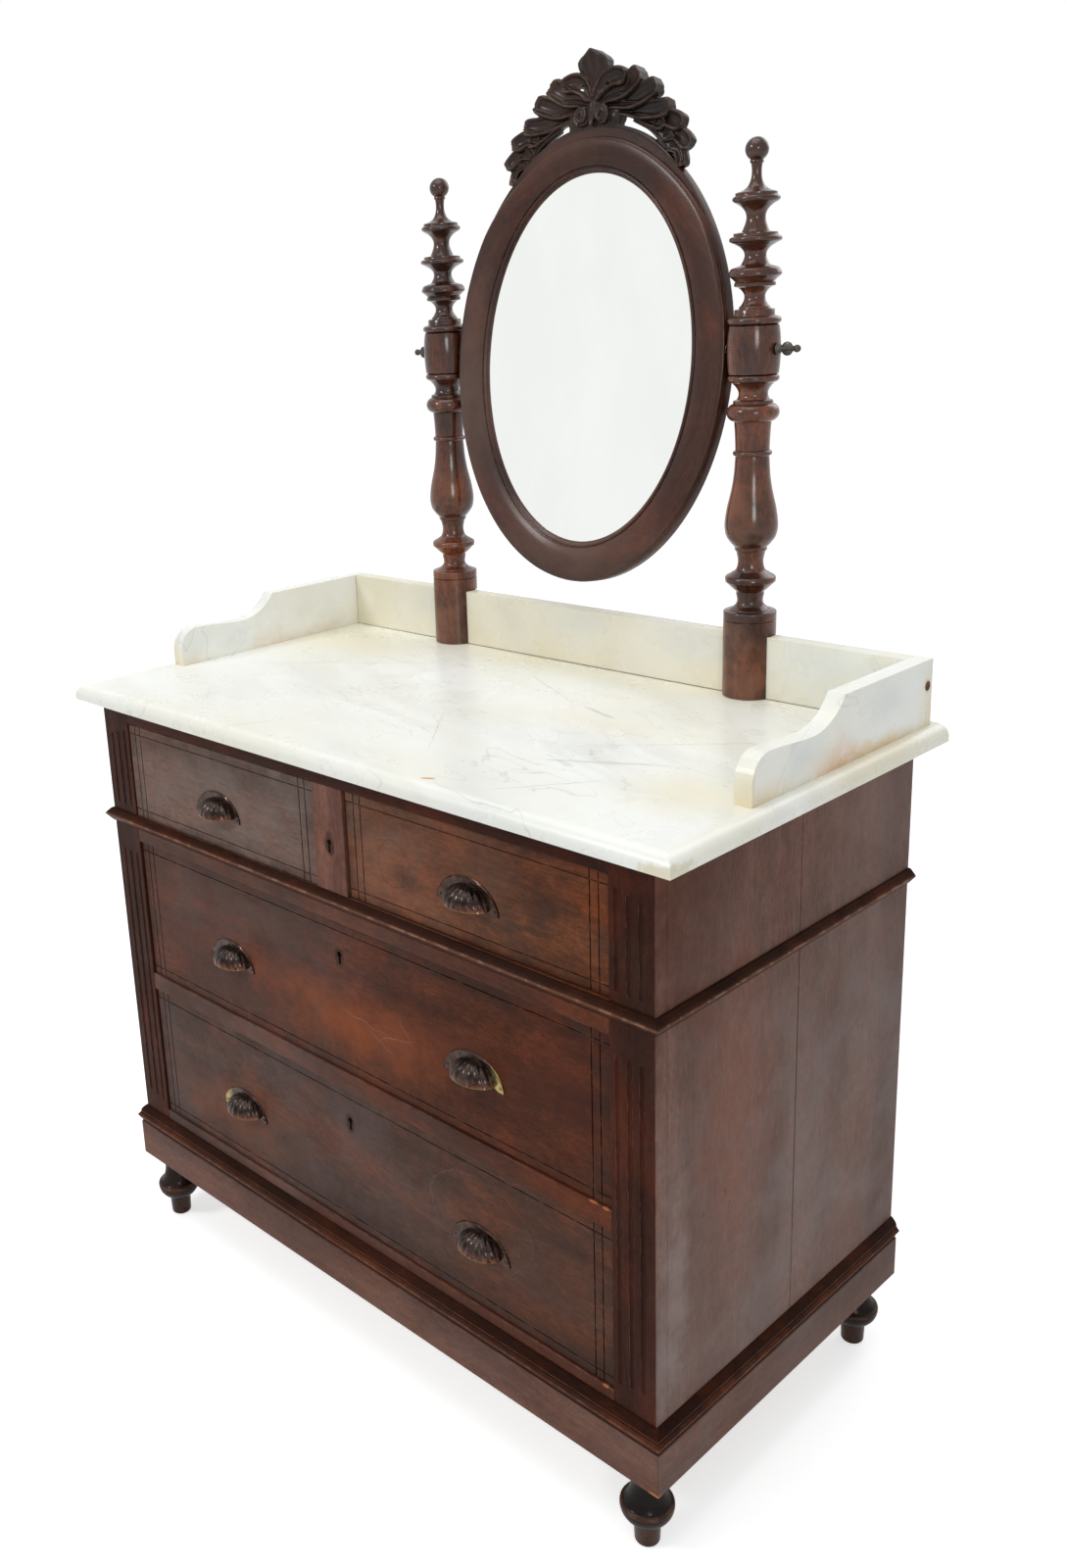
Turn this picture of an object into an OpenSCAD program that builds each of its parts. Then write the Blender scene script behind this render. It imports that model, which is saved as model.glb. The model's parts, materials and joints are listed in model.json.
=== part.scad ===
// Washstand with a marble top, four drawers and a tilting oval mirror between two turned posts.
// Millimetres. +Z is up, the drawers face -Y. The origin is on the floor, under the middle of the
// whole object. Inside the modules y = 0 is the face of the carcase; place() moves it to the origin.

/* [Carcase] */
// Width of the carcase over its side boards
carcase_w = 1000; // [900:10:1200]
// Depth of the carcase from stile face to back edge
carcase_d = 515; // [460:5:600]
// Height of the marble top's upper face above the floor
top_h = 880; // [820:5:950]
// Width of each fluted stile
stile_w = 60; // [56:1:70]
// Thickness of the stiles and rails seen from the side
stile_t = 20; // [18:1:24]
// Thickness of the side boards
side_t = 18; // [15:1:20]
// Width of the front one of the two boards that make a side
side_split = 268; // [200:1:320]
// Width of the post between the two upper drawers
muntin_w = 57; // [50:1:65]

/* [Levels of the front] */
// Height of the turned feet below the plinth
foot_h = 105; // [90:1:120]
// Height of the plinth boards
plinth_h = 57; // [50:1:65]
// Underside of the lower drawer's opening
lower_z = 205; // [200:1:212]
// Height of the lower drawer's opening
lower_h = 208; // [190:1:215]
// Thickness of the rail between the two long drawers
rail_h = 26; // [24:1:30]
// Height of the middle drawer's opening
middle_h = 213; // [195:1:215]
// Thickness of the rail behind the waist moulding
waist_h = 40; // [38:1:44]
// Height of the upper drawers' openings
upper_h = 141; // [125:1:142]

/* [Mouldings] */
// How far the plinth stands out in front of the carcase
plinth_out = 9; // [6:1:12]
// Height of the moulding on top of the plinth
base_mould_h = 28; // [26:1:33]
// How far that moulding stands out
base_mould_out = 12.5; // [10:0.5:15]
// Height of the moulding round the waist
waist_mould_h = 20; // [18:1:28]
// How far that moulding stands out
waist_mould_out = 10.5; // [9:0.5:16]

/* [Marble] */
// Thickness of the top slab
slab_t = 21; // [18:1:25]
// Overhang of the slab at each side
slab_over_side = 35; // [25:1:45]
// Overhang of the slab at the front
slab_over_front = 23; // [18:1:30]
// Overhang of the slab at the back
slab_over_back = 17; // [15:0.5:30]
// Radius of the slab's rounded upper edge
slab_round = 15; // [8:1:16]
// Height of the upstands above the slab
upstand_h = 82; // [75:1:100]
// Thickness of the upstand along the back
upstand_t = 22; // [20:1:26]
// Thickness of the side upstands
gallery_t = 22; // [18:1:25]
// Distance from the slab's side edge to the side upstand
gallery_inset = 19; // [12:1:24]
// Distance from the slab's back edge to the back upstand
upstand_inset = 12; // [10:0.5:20]

/* [Drawers] */
// Thickness of the drawer fronts
front_t = 20; // [18:1:22]
// Thickness of the drawer sides and backs
drawer_side_t = 11; // [9:1:13]
// Thickness of the drawer bottoms
drawer_bottom_t = 6; // [5:1:8]
// Length of the drawers from front face to back
drawer_l = 462; // [400:1:475]
// How far the upper left front lies behind the stiles
recess_upper_left = 2; // [1:0.5:10]
// How far the upper right front lies behind the stiles
recess_upper_right = 5; // [1:0.5:10]
// How far the middle front lies behind the stiles
recess_middle = 4; // [1:0.5:10]
// How far the lower front lies behind the stiles
recess_lower = 3.5; // [1:0.5:10]
// Distance of the pulls from the middle of the chest
pull_x = 234; // [220:1:245]
// Travel of a lock bolt
bolt_travel = 6; // [4:1:7]

/* [Mirror] */
// Half the width of the oval frame
oval_a = 233; // [215:1:234]
// Half the height of the oval frame
oval_b = 300; // [270:1:310]
// Width of the frame's wooden ring
ring_w = 56; // [48:1:62]
// Thickness of the frame
ring_t = 22; // [20:1:26]
// Height of the pivots above the middle of the oval
pivot_rise = 15; // [8:1:25]
// Height of the pivots above the marble
pivot_h = 441; // [430:1:450]
// Lean of the mirror, top towards the back, in degrees
tilt = 5.6; // [0:0.1:15]
// Height of the carved crest's tip above the middle of the oval
crest_top = 398; // [385:1:405]
// Thickness of the crest's flat back board
crest_t = 14; // [10:1:16]

/* [Posts] */
// Distance of the posts from the middle of the chest
post_x = 268.6; // [268:0.1:272]
// Distance of the posts' axis from the face of the carcase
post_y = 507.5; // [505:0.5:512]
// Radius of the posts' plain foot
post_r = 34; // [32:0.5:36]

/* [Hidden] */
$fn = 48;

// Half width of the carcase, and of the opening between the stiles
half_w = carcase_w / 2;
open_x = half_w - stile_w;
// Levels worked out from the driving heights
plinth_top = foot_h + plinth_h;
carcase_top = top_h - slab_t;
middle_z = lower_z + lower_h + rail_h;
waist_z = middle_z + middle_h;
upper_z = waist_z + waist_h;
top_rail_z = upper_z + upper_h;
mould_z = upper_z - waist_mould_h;
// Marble positions
slab_x = half_w + slab_over_side;
slab_back = carcase_d + slab_over_back;
upstand_back = slab_back - upstand_inset;
upstand_front = upstand_back - upstand_t;
gallery_x = slab_x - gallery_inset;
gallery_pin_h = 50;
gallery_pin_r = 3;
gallery_pin_l = 26;
gallery_plug_r = 6;
gallery_plug_t = 4;
post_screw_l = 17;
// Mirror positions
pivot_z = top_h + pivot_h;
back_reach = post_y + (crest_top - pivot_rise) * sin(tilt) + ring_t / 2 * cos(tilt);
mid_y = (back_reach - slab_over_front) / 2;
// Fits and gaps
joint_gap = 0.1;
slide_gap = 0.3;
run_fit = 0.05;
board_gap = 0.4;
ease = 0.8;
// Rails
rail_d = 45;
tenon_l = 14;
tenon_t = 8;
// Flutes of the stiles
flute_pitch = 16;
flute_first = 10.5;
flute_r = 3.2;
flute_end = 15;
flute_top_gap = 43;
// Drawer fronts
front_gap = 1;
front_gap_top = 1.5;
line_w = 1.8;
line_d = 1.4;
line_end_1 = 14;
line_end_2 = 26;
line_edge = 11.5;
// Drawer boxes
tail_d = 13;
groove_d = 4;
groove_z = 9;
box_drop = 4;
// Cup pulls
pull_a = 48;
pull_b = 37;
dome_a = 34;
dome_r = 24;
dome_t = 2;
plate_t = 1.5;
rim_rise = 4;
pull_rise = 78;
pull_rise_upper = 45;
// Locks
key_r = 4.2;
key_slot_w = 4;
key_slot_l = 14;
key_drop = 45;
muntin_key_drop = 74;
lock_w = 56;
lock_h = 48;
lock_t = 11;
bolt_w = 24;
bolt_t = 6;
bolt_l = 18;
bolt_back = 4;
// Mirror hardware
screw_r = 4;
socket_r = 7;
socket_l = 15;
// Feet
foot_in_x = 31;
foot_in_front = 23;
foot_in_back = 34;
foot_dowel_r = 10;
foot_dowel_l = 38;
block_w = 52;

MAHOGANY = [0.33, 0.16, 0.11];
RAIL_RED = [0.42, 0.21, 0.14];
CARVED = [0.20, 0.12, 0.09];
PINE = [0.66, 0.50, 0.32];
MARBLE = [0.92, 0.91, 0.87];
BRONZE = [0.22, 0.18, 0.15];
IRON = [0.30, 0.30, 0.29];

// ---------------------------------------------------------------- helpers

// Points of an arc about c from angle a0 to a1
function arc(c, r, a0, a1, n = 8) =
    [for (i = [0:n]) let (a = a0 + (a1 - a0) * i / n) c + r * [cos(a), sin(a)]];

// Points of an ellipse
function ellipse(a, b, n = 96) = [for (i = [0:n - 1]) [a * cos(360 * i / n), b * sin(360 * i / n)]];

// Half-round bead of radius r_out at height z, h thick, for a turned outline
function bead(z, r_out, h, n = 6) =
    [for (i = [0:n]) let (a = -90 + 180 * i / n) [r_out - h / 2 + h / 2 * cos(a), z + h / 2 * sin(a)]];

// Hollow sweep from [r0, z0] to [r1, z1] that narrows to r_min between them
function cove(r0, z0, r1, z1, r_min, n = 8) =
    [for (i = [0:n]) let (t = i / n, s = pow(sin(180 * t), 0.8))
        [(r0 + (r1 - r0) * t) * (1 - s) + r_min * s, z0 + (z1 - z0) * t]];

// Moves the chest from its own zero to the origin under its middle
module place() {
    translate([0, -mid_y, 0]) children();
}

// Carries the upright mirror to its place and leans it back about the pivots
module place_mirror() {
    place() translate([0, post_y, pivot_z]) rotate([-tilt, 0, 0]) translate([0, 0, -pivot_rise]) children();
}

// Repeats a shape on the left and the right
module both_sides() {
    for (s = [0, 1]) mirror([s, 0, 0]) children();
}

// Rectangle with its corners cut by e
module eased_square(w, h, e) {
    polygon([[e, 0], [w - e, 0], [w, e], [w, h - e], [w - e, h], [e, h], [0, h - e], [0, e]]);
}

// Board from corner p with sides d and every edge eased
module board(p, d, e = ease) {
    translate(p) intersection() {
        linear_extrude(d.z) eased_square(d.x, d.y, e);
        translate([0, d.y, 0]) rotate([90, 0, 0]) linear_extrude(d.y) eased_square(d.x, d.z, e);
        rotate([90, 0, 90]) linear_extrude(d.x) eased_square(d.y, d.z, e);
    }
}

// Plain box between two corners
module block(a, b) {
    translate(a) cube(b - a);
}

// Cylinder along Y from y0 to y1
module rod_y(x, z, r, y0, y1) {
    translate([x, y1, z]) rotate([90, 0, 0]) cylinder(r = r, h = y1 - y0);
}

// Cylinder along X from x0 to x1
module rod_x(x0, x1, y, z, r) {
    translate([x0, y, z]) rotate([0, 90, 0]) cylinder(r = r, h = x1 - x0);
}

// Keyhole cut along Y, round above and a slot below
module keyhole(x, z, y0, y1) {
    rod_y(x, z, key_r, y0, y1);
    block([x - key_slot_w / 2, y0, z - key_slot_l], [x + key_slot_w / 2, y1, z]);
}

// Length of moulding along the front, mitred at both ends; outline is [stand out, height]
module front_moulding(outline, out) {
    intersection() {
        translate([-half_w - out, 0, 0]) rotate([90, 0, 90])
            linear_extrude(carcase_w + 2 * out) mirror([1, 0]) polygon(outline);
        linear_extrude(top_h) polygon([
            [-half_w + joint_gap, 0], [half_w - joint_gap, 0],
            [half_w + out - joint_gap, -out], [-half_w - out + joint_gap, -out]
        ]);
    }
}

// Length of moulding along the right side, mitred at the front corner
module side_moulding(outline, out) {
    intersection() {
        translate([half_w, carcase_d, 0]) rotate([90, 0, 0])
            linear_extrude(carcase_d + out) polygon(outline);
        linear_extrude(top_h) polygon([
            [half_w, joint_gap], [half_w + out, -out + joint_gap],
            [half_w + out, carcase_d], [half_w, carcase_d]
        ]);
    }
}

// ---------------------------------------------------------------- marble

module marble_edge(w) {
    difference() {
        square([w, slab_t]);
        for (s = [0, 1]) translate([s * w, 0]) mirror([s, 0]) translate([0, slab_t - slab_round])
            difference() {
                square(slab_round);
                translate([slab_round, 0]) circle(slab_round);
            }
    }
}

module marble_top() {
    depth = slab_back + slab_over_front;
    color(MARBLE) place() intersection() {
        translate([-slab_x, slab_back, carcase_top]) rotate([90, 0, 0])
            linear_extrude(depth) marble_edge(2 * slab_x);
        translate([-slab_x, -slab_over_front, carcase_top]) rotate([90, 0, 90])
            linear_extrude(2 * slab_x) intersection() {
                marble_edge(depth + slab_round);
                square([depth, slab_t]);
            }
    }
}

module post_screw_holes(r) {
    both_sides() for (h = [24, 58])
        rod_y(post_x, top_h + h, r, upstand_front - post_screw_l - 1, upstand_back + 1);
}

// Pin through a side upstand into the end of the back upstand, with a wider plug over its head
module gallery_pin(gap, plug_out) {
    y = upstand_front + upstand_t / 2;
    z = top_h + gallery_pin_h;
    rod_x(gallery_x - gallery_t - gallery_pin_l - gap, gallery_x - gallery_plug_t, y, z, gallery_pin_r + gap);
    rod_x(gallery_x - gallery_plug_t - gap, gallery_x + plug_out, y, z, gallery_plug_r + gap);
}

module marble_back() {
    x = gallery_x - gallery_t - joint_gap;
    color(MARBLE) place() difference() {
        board([-x, upstand_front, top_h + joint_gap], [2 * x, upstand_t, upstand_h - joint_gap], 1);
        post_screw_holes(3);
        both_sides() gallery_pin(joint_gap, 1);
    }
}

// Side upstand seen from the side: blunt nose, slight fall to a hollow, then a rise to full height
gallery_front = 142;
nose_r = 30;
nose_h = 55;
hollow_h = 49.5;
rise_y = 258;
rise_r = 78;
rise_turn = acos((rise_r - (upstand_h - hollow_h)) / rise_r);
fall_y = gallery_front + nose_r;
gallery_outline = concat(
    [[gallery_front, joint_gap]],
    arc([fall_y, nose_h - nose_r], nose_r, 180, 96, 8),
    [for (i = [0:6]) let (t = i / 6)
        [fall_y + (rise_y - fall_y) * t, hollow_h + (nose_h - hollow_h) * (1 + cos(180 * t)) / 2]],
    arc([rise_y, hollow_h + rise_r], rise_r, -86, -90 + rise_turn, 8),
    [[upstand_back, upstand_h], [upstand_back, joint_gap]]
);

module marble_side_right() {
    color(MARBLE) place() difference() {
        translate([gallery_x - gallery_t, 0, top_h])
            rotate([90, 0, 90]) linear_extrude(gallery_t) polygon(gallery_outline);
        gallery_pin(joint_gap, 1);
    }
}

module marble_side_left() {
    mirror([1, 0, 0]) marble_side_right();
}

// Pins that tie the side upstands to the ends of the back one
module gallery_pins() {
    color(RAIL_RED) place() both_sides() gallery_pin(0, 0);
}

// ---------------------------------------------------------------- carcase

module side_right() {
    x = half_w - side_t;
    h = carcase_top - plinth_top;
    color(MAHOGANY) place() {
        board([x, stile_t + joint_gap, plinth_top], [side_t, side_split - stile_t - board_gap, h], 0.6);
        board([x, side_split, plinth_top], [side_t, carcase_d - side_split, h], 0.6);
    }
}

module side_left() {
    mirror([1, 0, 0]) side_right();
}

// Round-bottomed flute cut into the stile's face
module flute(x, z0, z1) {
    for (z = [z0, z1]) translate([x, -1, z]) sphere(flute_r, $fn = 24);
    translate([x, -1, z0]) cylinder(r = flute_r, h = z1 - z0, $fn = 24);
}

// Mortise for a rail's tenon, the rail being at the level z and h high
module rail_tenon(z, h) {
    block([open_x - 1, 6, z + h * 0.2], [open_x + tenon_l, 6 + tenon_t, z + h * 0.8]);
}

module stile_right() {
    color(MAHOGANY) place() difference() {
        board([open_x, 0, plinth_top], [stile_w, stile_t, carcase_top - plinth_top]);
        for (i = [0:2]) {
            x = open_x + flute_first + i * flute_pitch;
            stagger = 4 * i;
            flute(x, lower_z + flute_end + stagger, mould_z - flute_top_gap);
            flute(x, upper_z + flute_end, top_rail_z - flute_end - stagger);
        }
        rail_tenon(plinth_top, lower_z - plinth_top);
        rail_tenon(middle_z - rail_h, rail_h);
        rail_tenon(waist_z, waist_h);
        rail_tenon(top_rail_z, carcase_top - top_rail_z);
    }
}

module stile_left() {
    mirror([1, 0, 0]) stile_right();
}

// Rail across the front with a tenon at each end
module front_rail(z, h) {
    board([-open_x + joint_gap, 0, z], [2 * (open_x - joint_gap), rail_d, h]);
    both_sides() block([open_x - 2, 6.1, z + h * 0.2 + 0.1], [open_x + tenon_l - 0.2, 5.9 + tenon_t, z + h * 0.8 - 0.1]);
}

// Pocket in a rail's underside for the bolt of the drawer below
module bolt_pocket(z, recess) {
    y = recess + front_t - bolt_back - bolt_t;
    block([-bolt_w / 2 - 1, y - 1, z - 1], [bolt_w / 2 + 1, y + bolt_t + 1, z + bolt_travel + 2]);
}

module top_rail() {
    color(MAHOGANY) place() difference() {
        front_rail(top_rail_z, carcase_top - top_rail_z);
        muntin_tenon(0);
    }
}

module waist_rail() {
    color(RAIL_RED) place() difference() {
        front_rail(waist_z, waist_h);
        bolt_pocket(waist_z, recess_middle);
        muntin_tenon(0);
    }
}

module middle_rail() {
    color(RAIL_RED) place() difference() {
        front_rail(middle_z - rail_h, rail_h);
        bolt_pocket(middle_z - rail_h, recess_lower);
    }
}

module bottom_rail() {
    color(RAIL_RED) place() front_rail(plinth_top, lower_z - plinth_top);
}

// Tenons that hold the muntin between its rails
module muntin_tenon(gap) {
    block([-18 + gap, 6 + gap, upper_z - 10 + gap], [18 - gap, 14 - gap, top_rail_z + 10 - gap]);
}

module muntin() {
    z = top_rail_z - muntin_key_drop;
    color(RAIL_RED) place() difference() {
        union() {
            board([-muntin_w / 2, 0, upper_z + joint_gap], [muntin_w, stile_t, upper_h - 2 * joint_gap]);
            muntin_tenon(joint_gap);
        }
        keyhole(0, z, -1, stile_t + 1);
    }
}

// Bearers under the marble: one along each side and one across the back
module top_bearers() {
    inner = half_w - side_t - joint_gap;
    color(PINE) place() {
        both_sides() board([inner - 30, rail_d + 1, top_rail_z + 1], [30, 430, carcase_top - top_rail_z - 1]);
        board([-inner, rail_d + 432, top_rail_z + 1], [2 * inner, 24, carcase_top - top_rail_z - 1]);
    }
}

// Beak-shaped waist moulding from its lower edge up to the nose and back: [stand out, height]
waist_outline = [for (p = [
    [0, 0], [1.5, 0], [5, 4], [10, 10], [10.5, 11.5], [9.5, 13], [5.5, 17.5], [3.5, 19.6], [0, 20]
]) [p.x * waist_mould_out / 10.5, mould_z + p.y * waist_mould_h / 20]];

module waist_moulding() {
    color(MAHOGANY) place() {
        front_moulding(waist_outline, waist_mould_out);
        both_sides() side_moulding(waist_outline, waist_mould_out);
    }
}

// Base moulding: bead on the plinth's edge, then an ovolo that leans back to a fillet
base_outline = [for (p = [
    [0, joint_gap], [7.5, joint_gap], [7.5, 2.5], [9, 4.5], [12, 9.8], [12.5, 11], [12, 12], [9, 15.5],
    [8.3, 16.5], [8.3, 18], [8, 19], [4.5, 25], [1.5, 28], [0, 28]
]) [p.x * base_mould_out / 12.5, plinth_top + p.y * base_mould_h / 28]];

module base_moulding() {
    color(MAHOGANY) place() {
        front_moulding(base_outline, base_mould_out);
        both_sides() side_moulding(base_outline, base_mould_out);
    }
}

plinth_t = 20;

module plinth_front() {
    x = half_w + plinth_out - joint_gap;
    color(MAHOGANY) place() intersection() {
        board([-x, -plinth_out, foot_h], [2 * x, plinth_t, plinth_h - joint_gap], 1.2);
        linear_extrude(top_h) polygon([
            [-x, -plinth_out], [x, -plinth_out], [x - plinth_t, plinth_t - plinth_out],
            [-x + plinth_t, plinth_t - plinth_out]
        ]);
    }
}

module plinth_right() {
    x = half_w + plinth_out;
    y = -plinth_out + joint_gap;
    color(MAHOGANY) place() intersection() {
        board([x - plinth_t, y, foot_h], [plinth_t, carcase_d - y, plinth_h - joint_gap], 1.2);
        linear_extrude(top_h) polygon([
            [x, y], [x, carcase_d], [x - plinth_t, carcase_d], [x - plinth_t, y + plinth_t]
        ]);
    }
}

module plinth_left() {
    mirror([1, 0, 0]) plinth_right();
}

module plinth_back() {
    x = half_w + plinth_out - plinth_t - joint_gap;
    color(PINE) place() board([-x, carcase_d - 18, foot_h], [2 * x, 18, plinth_h - joint_gap]);
}

function foot_x() = half_w - foot_in_x;

// Blocks in the plinth's corners that the feet are dowelled into
module corner_blocks() {
    outer = half_w + plinth_out - plinth_t - joint_gap;
    front_y = plinth_t - plinth_out + joint_gap;
    back_y = carcase_d - 18 - joint_gap;
    color(PINE) place() both_sides() {
        difference() {
            board([outer - block_w, front_y, foot_h], [block_w, block_w, plinth_h - joint_gap], 0.6);
            translate([foot_x(), foot_in_front, foot_h - 1]) cylinder(r = foot_dowel_r + joint_gap, h = foot_dowel_l + 2);
        }
        difference() {
            board([outer - block_w, back_y - block_w, foot_h], [block_w, block_w, plinth_h - joint_gap], 0.6);
            translate([foot_x(), carcase_d - foot_in_back, foot_h - 1])
                cylinder(r = foot_dowel_r + joint_gap, h = foot_dowel_l + 2);
        }
    }
}

// Turned foot: straight stem, flat bulb with a rim, and a hollow neck up to the plinth
toe_r = 11;
stem_r = 16;
bulb_r = 32;
neck_r = 18.5;
foot_outline = concat(
    [[0, 0], [toe_r, 0]],
    arc([toe_r, 4], 4, -90, 0, 5),
    [[stem_r, 29], [stem_r + 0.5, 30.5], [21, 33.5], [26, 38], [bulb_r - 2, 44], [bulb_r - 0.2, 50]],
    [[bulb_r, 53], [bulb_r - 0.5, 55.6], [bulb_r - 1.4, 57], [bulb_r - 3, 57.6], [26, 60]],
    [[neck_r + 4, 66], [neck_r + 1, 76], [neck_r, 86], [neck_r + 1.5, 96], [neck_r + 5, foot_h - 4]],
    [[neck_r + 5.5, foot_h - 3.5], [neck_r + 5.5, foot_h - joint_gap], [foot_dowel_r, foot_h - joint_gap]],
    [[foot_dowel_r, foot_h + foot_dowel_l], [0, foot_h + foot_dowel_l]]
);

module foot(x, y) {
    color(MAHOGANY) place() translate([x, y, 0]) rotate_extrude() polygon(foot_outline);
}

module foot_front_left() foot(-foot_x(), foot_in_front);
module foot_front_right() foot(foot_x(), foot_in_front);
module foot_back_left() foot(-foot_x(), carcase_d - foot_in_back);
module foot_back_right() foot(foot_x(), carcase_d - foot_in_back);

// Upright boards between the sides
module back_boards() {
    count = 5;
    inner = half_w - side_t - joint_gap;
    w = 2 * inner / count;
    color(PINE) place() for (i = [0:count - 1])
        board([-inner + i * w, carcase_d - 12, plinth_top], [w - board_gap, 10, carcase_top - plinth_top - joint_gap], 0.6);
}

runner_h = 18;
guide_h = 22;

// Runner from x0 to x1 whose bearing face is at the level z
module runner(x0, x1, z) {
    block([x0, rail_d + 1, z - runner_h], [x1, carcase_d - 14, z]);
}

// Guide glued on a runner, which keeps the drawer sides straight
module guide(x0, x1, z) {
    block([x0, rail_d + 1, z + joint_gap], [x1, carcase_d - 14, z + guide_h]);
}

// Runners and guides at both sides of each drawer, and one pair between the upper drawers
module runners() {
    inner = half_w - side_t - joint_gap;
    color(PINE) place() {
        both_sides() for (z = [lower_z, middle_z, upper_z]) {
            runner(open_x - 16, inner, z);
            guide(open_x + 0.5, inner, z);
        }
        runner(-muntin_w / 2 - 16, muntin_w / 2 + 16, upper_z);
        guide(-muntin_w / 2 + 0.5, muntin_w / 2 - 0.5, upper_z);
    }
}

module stop_block(x, z, recess) {
    block([x - 15, recess + front_t + slide_gap, z - joint_gap], [x + 15, recess + front_t + 14, z + 5]);
}

// Small blocks on the rails that stop the fronts at their recess
module drawer_stops() {
    color(PINE) place() translate([0, 0, joint_gap]) {
        both_sides() stop_block(300, lower_z, recess_lower);
        both_sides() stop_block(300, middle_z, recess_middle);
        for (x = [110, 340]) {
            stop_block(-x, upper_z, recess_upper_left);
            stop_block(x, upper_z, recess_upper_right);
        }
    }
}

// ---------------------------------------------------------------- posts

// Heights are above the marble: foot, disc, baluster, ring, barrel, three discs, ball
post_outline = concat(
    [[0, 0], [post_r, 0], [post_r, 101], [post_r - 1.5, 102], [post_r, 103], [post_r, 111]],
    [[post_r - 2, 113.5], [26.5, 114.5]],
    cove(26, 115.5, 18, 137, 16.5, 6),
    [[18, 139], [21.5, 141], [31, 150.5], [32.3, 152], [32.3, 156.5], [30.5, 158.5], [19, 166]],
    [[16.7, 172], [16.5, 181], [19, 191], [20.5, 192], [20.5, 195.5]],
    arc([3.6, 222], 30, -55, 0, 8),
    [[33.4, 230], [31, 246], [28, 259], [24.8, 273], [22.6, 289], [21.5, 306]],
    bead(314.3, 24.5, 7, 4),
    [[21.3, 318.5], [21.6, 326], [22.2, 340], [23, 351]],
    arc([20.9, 364.5], 11.5, -80, 75, 8),
    [[24.4, 376.5], [24.4, 379], [19.5, 381], [18, 385], [18.4, 390], [21, 395], [25, 399]],
    bead(406, 31.5, 9.5, 6),
    [[30.5, 411.5], [31.6, 420], [32.5, 436], [32.5, 448], [31.6, 460], [30.2, 468]],
    bead(475, 32.5, 9, 6),
    [[24.2, 482], [24.2, 488], [18.7, 489.5]],
    cove(18.7, 491, 22, 515, 12.5, 6),
    [[24.8, 515.5], [24.8, 519.5], [22.5, 520.5], [27, 525], [31.5, 528.5], [31.5, 531], [28.8, 537]],
    cove(18, 540, 23, 563.6, 13, 6),
    [[30.5, 568], [31.5, 569.5], [31, 572], [26.5, 574], [26.5, 577.5]],
    cove(15, 579, 25, 612, 11.4, 7),
    [[28.5, 614.5], [28.2, 617.5], [25, 620], [25, 623], [18, 625], [12, 629], [8.5, 634], [6.2, 640]],
    [[6, 655], [8, 657.5], [8, 660]],
    arc([0, 672], 14, -58, 90, 10)
);

module post_right() {
    color(MAHOGANY) place() difference() {
        translate([post_x, post_y, top_h + joint_gap]) rotate_extrude() polygon(post_outline);
        block([post_x - 60, upstand_front - joint_gap, top_h - 1], [post_x + 60, post_y + 60, top_h + upstand_h + joint_gap]);
        rod_x(post_x - 60, post_x + 60, post_y, pivot_z, screw_r + run_fit);
        post_screw_holes(2.5);
    }
}

module post_left() {
    mirror([1, 0, 0]) post_right();
}

// Screws that come through the marble from behind
module post_screws() {
    color(IRON) place() both_sides() for (h = [24, 58]) {
        rod_y(post_x, top_h + h, 2.4, upstand_front - post_screw_l, upstand_back);
        rod_y(post_x, top_h + h, 5, upstand_back, upstand_back + 2);
    }
}

module muntin_lock() {
    z = top_rail_z - muntin_key_drop;
    color(BRONZE) place() difference() {
        board([-22, stile_t + joint_gap, z - 30], [44, 10, 48], 0.5);
        keyhole(0, z, stile_t - 1, stile_t + 6);
    }
}

// ---------------------------------------------------------------- mirror

glass_lap = 5;
glass_t = 4;
rebate_d = 12;
glass_a = oval_a - ring_w + glass_lap;
glass_b = oval_b - ring_w + glass_lap;

// Section of the wooden ring: [distance in from the outer edge, distance forward of the middle]
ring_section = concat(
    [[0, -ring_t / 2], [0, ring_t / 2 - 7]],
    arc([7, ring_t / 2 - 7], 7, 180, 90, 4),
    [[ring_w - 15, ring_t / 2]],
    arc([ring_w - 12, ring_t / 2 - 3], 2.6, 150, 20, 3),
    arc([ring_w - 6.5, ring_t / 2 - 5.5], 2.4, 140, 10, 3),
    [[ring_w, ring_t / 2 - 9], [ring_w, rebate_d - ring_t / 2]],
    [[ring_w - glass_lap, rebate_d - ring_t / 2], [ring_w - glass_lap, -ring_t / 2]]
);

// Closed ring swept round the oval
module oval_ring(n = 80) {
    m = len(ring_section);
    points = [for (i = [0:n - 1]) for (q = ring_section)
        [(oval_a - q.x) * cos(360 * i / n), -q.y, (oval_b - q.x) * sin(360 * i / n)]];
    faces = [for (i = [0:n - 1]) for (j = [0:m - 1]) each [
        [i * m + j, ((i + 1) % n) * m + j, ((i + 1) % n) * m + (j + 1) % m],
        [i * m + j, ((i + 1) % n) * m + (j + 1) % m, i * m + (j + 1) % m]
    ]];
    polyhedron(points, faces);
}

// Oval plate between two depths
module oval_plate(a, b, y0, y1) {
    translate([0, y1, 0]) rotate([90, 0, 0]) linear_extrude(y1 - y0) polygon(ellipse(a, b, 80));
}

module mirror_frame() {
    color(MAHOGANY) place_mirror() difference() {
        oval_ring();
        both_sides() rod_x(oval_a - socket_l - 1, oval_a + 10, 0, pivot_rise, socket_r + joint_gap);
        both_sides() rod_x(oval_a - 0.6, oval_a + 10, 0, pivot_rise, socket_r + 2 + joint_gap);
    }
}

module mirror_glass() {
    y = ring_t / 2 - rebate_d;
    color([0.85, 0.88, 0.88]) place_mirror()
        oval_plate(glass_a - 1, glass_b - 1, y + joint_gap, y + glass_t);
}

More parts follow.
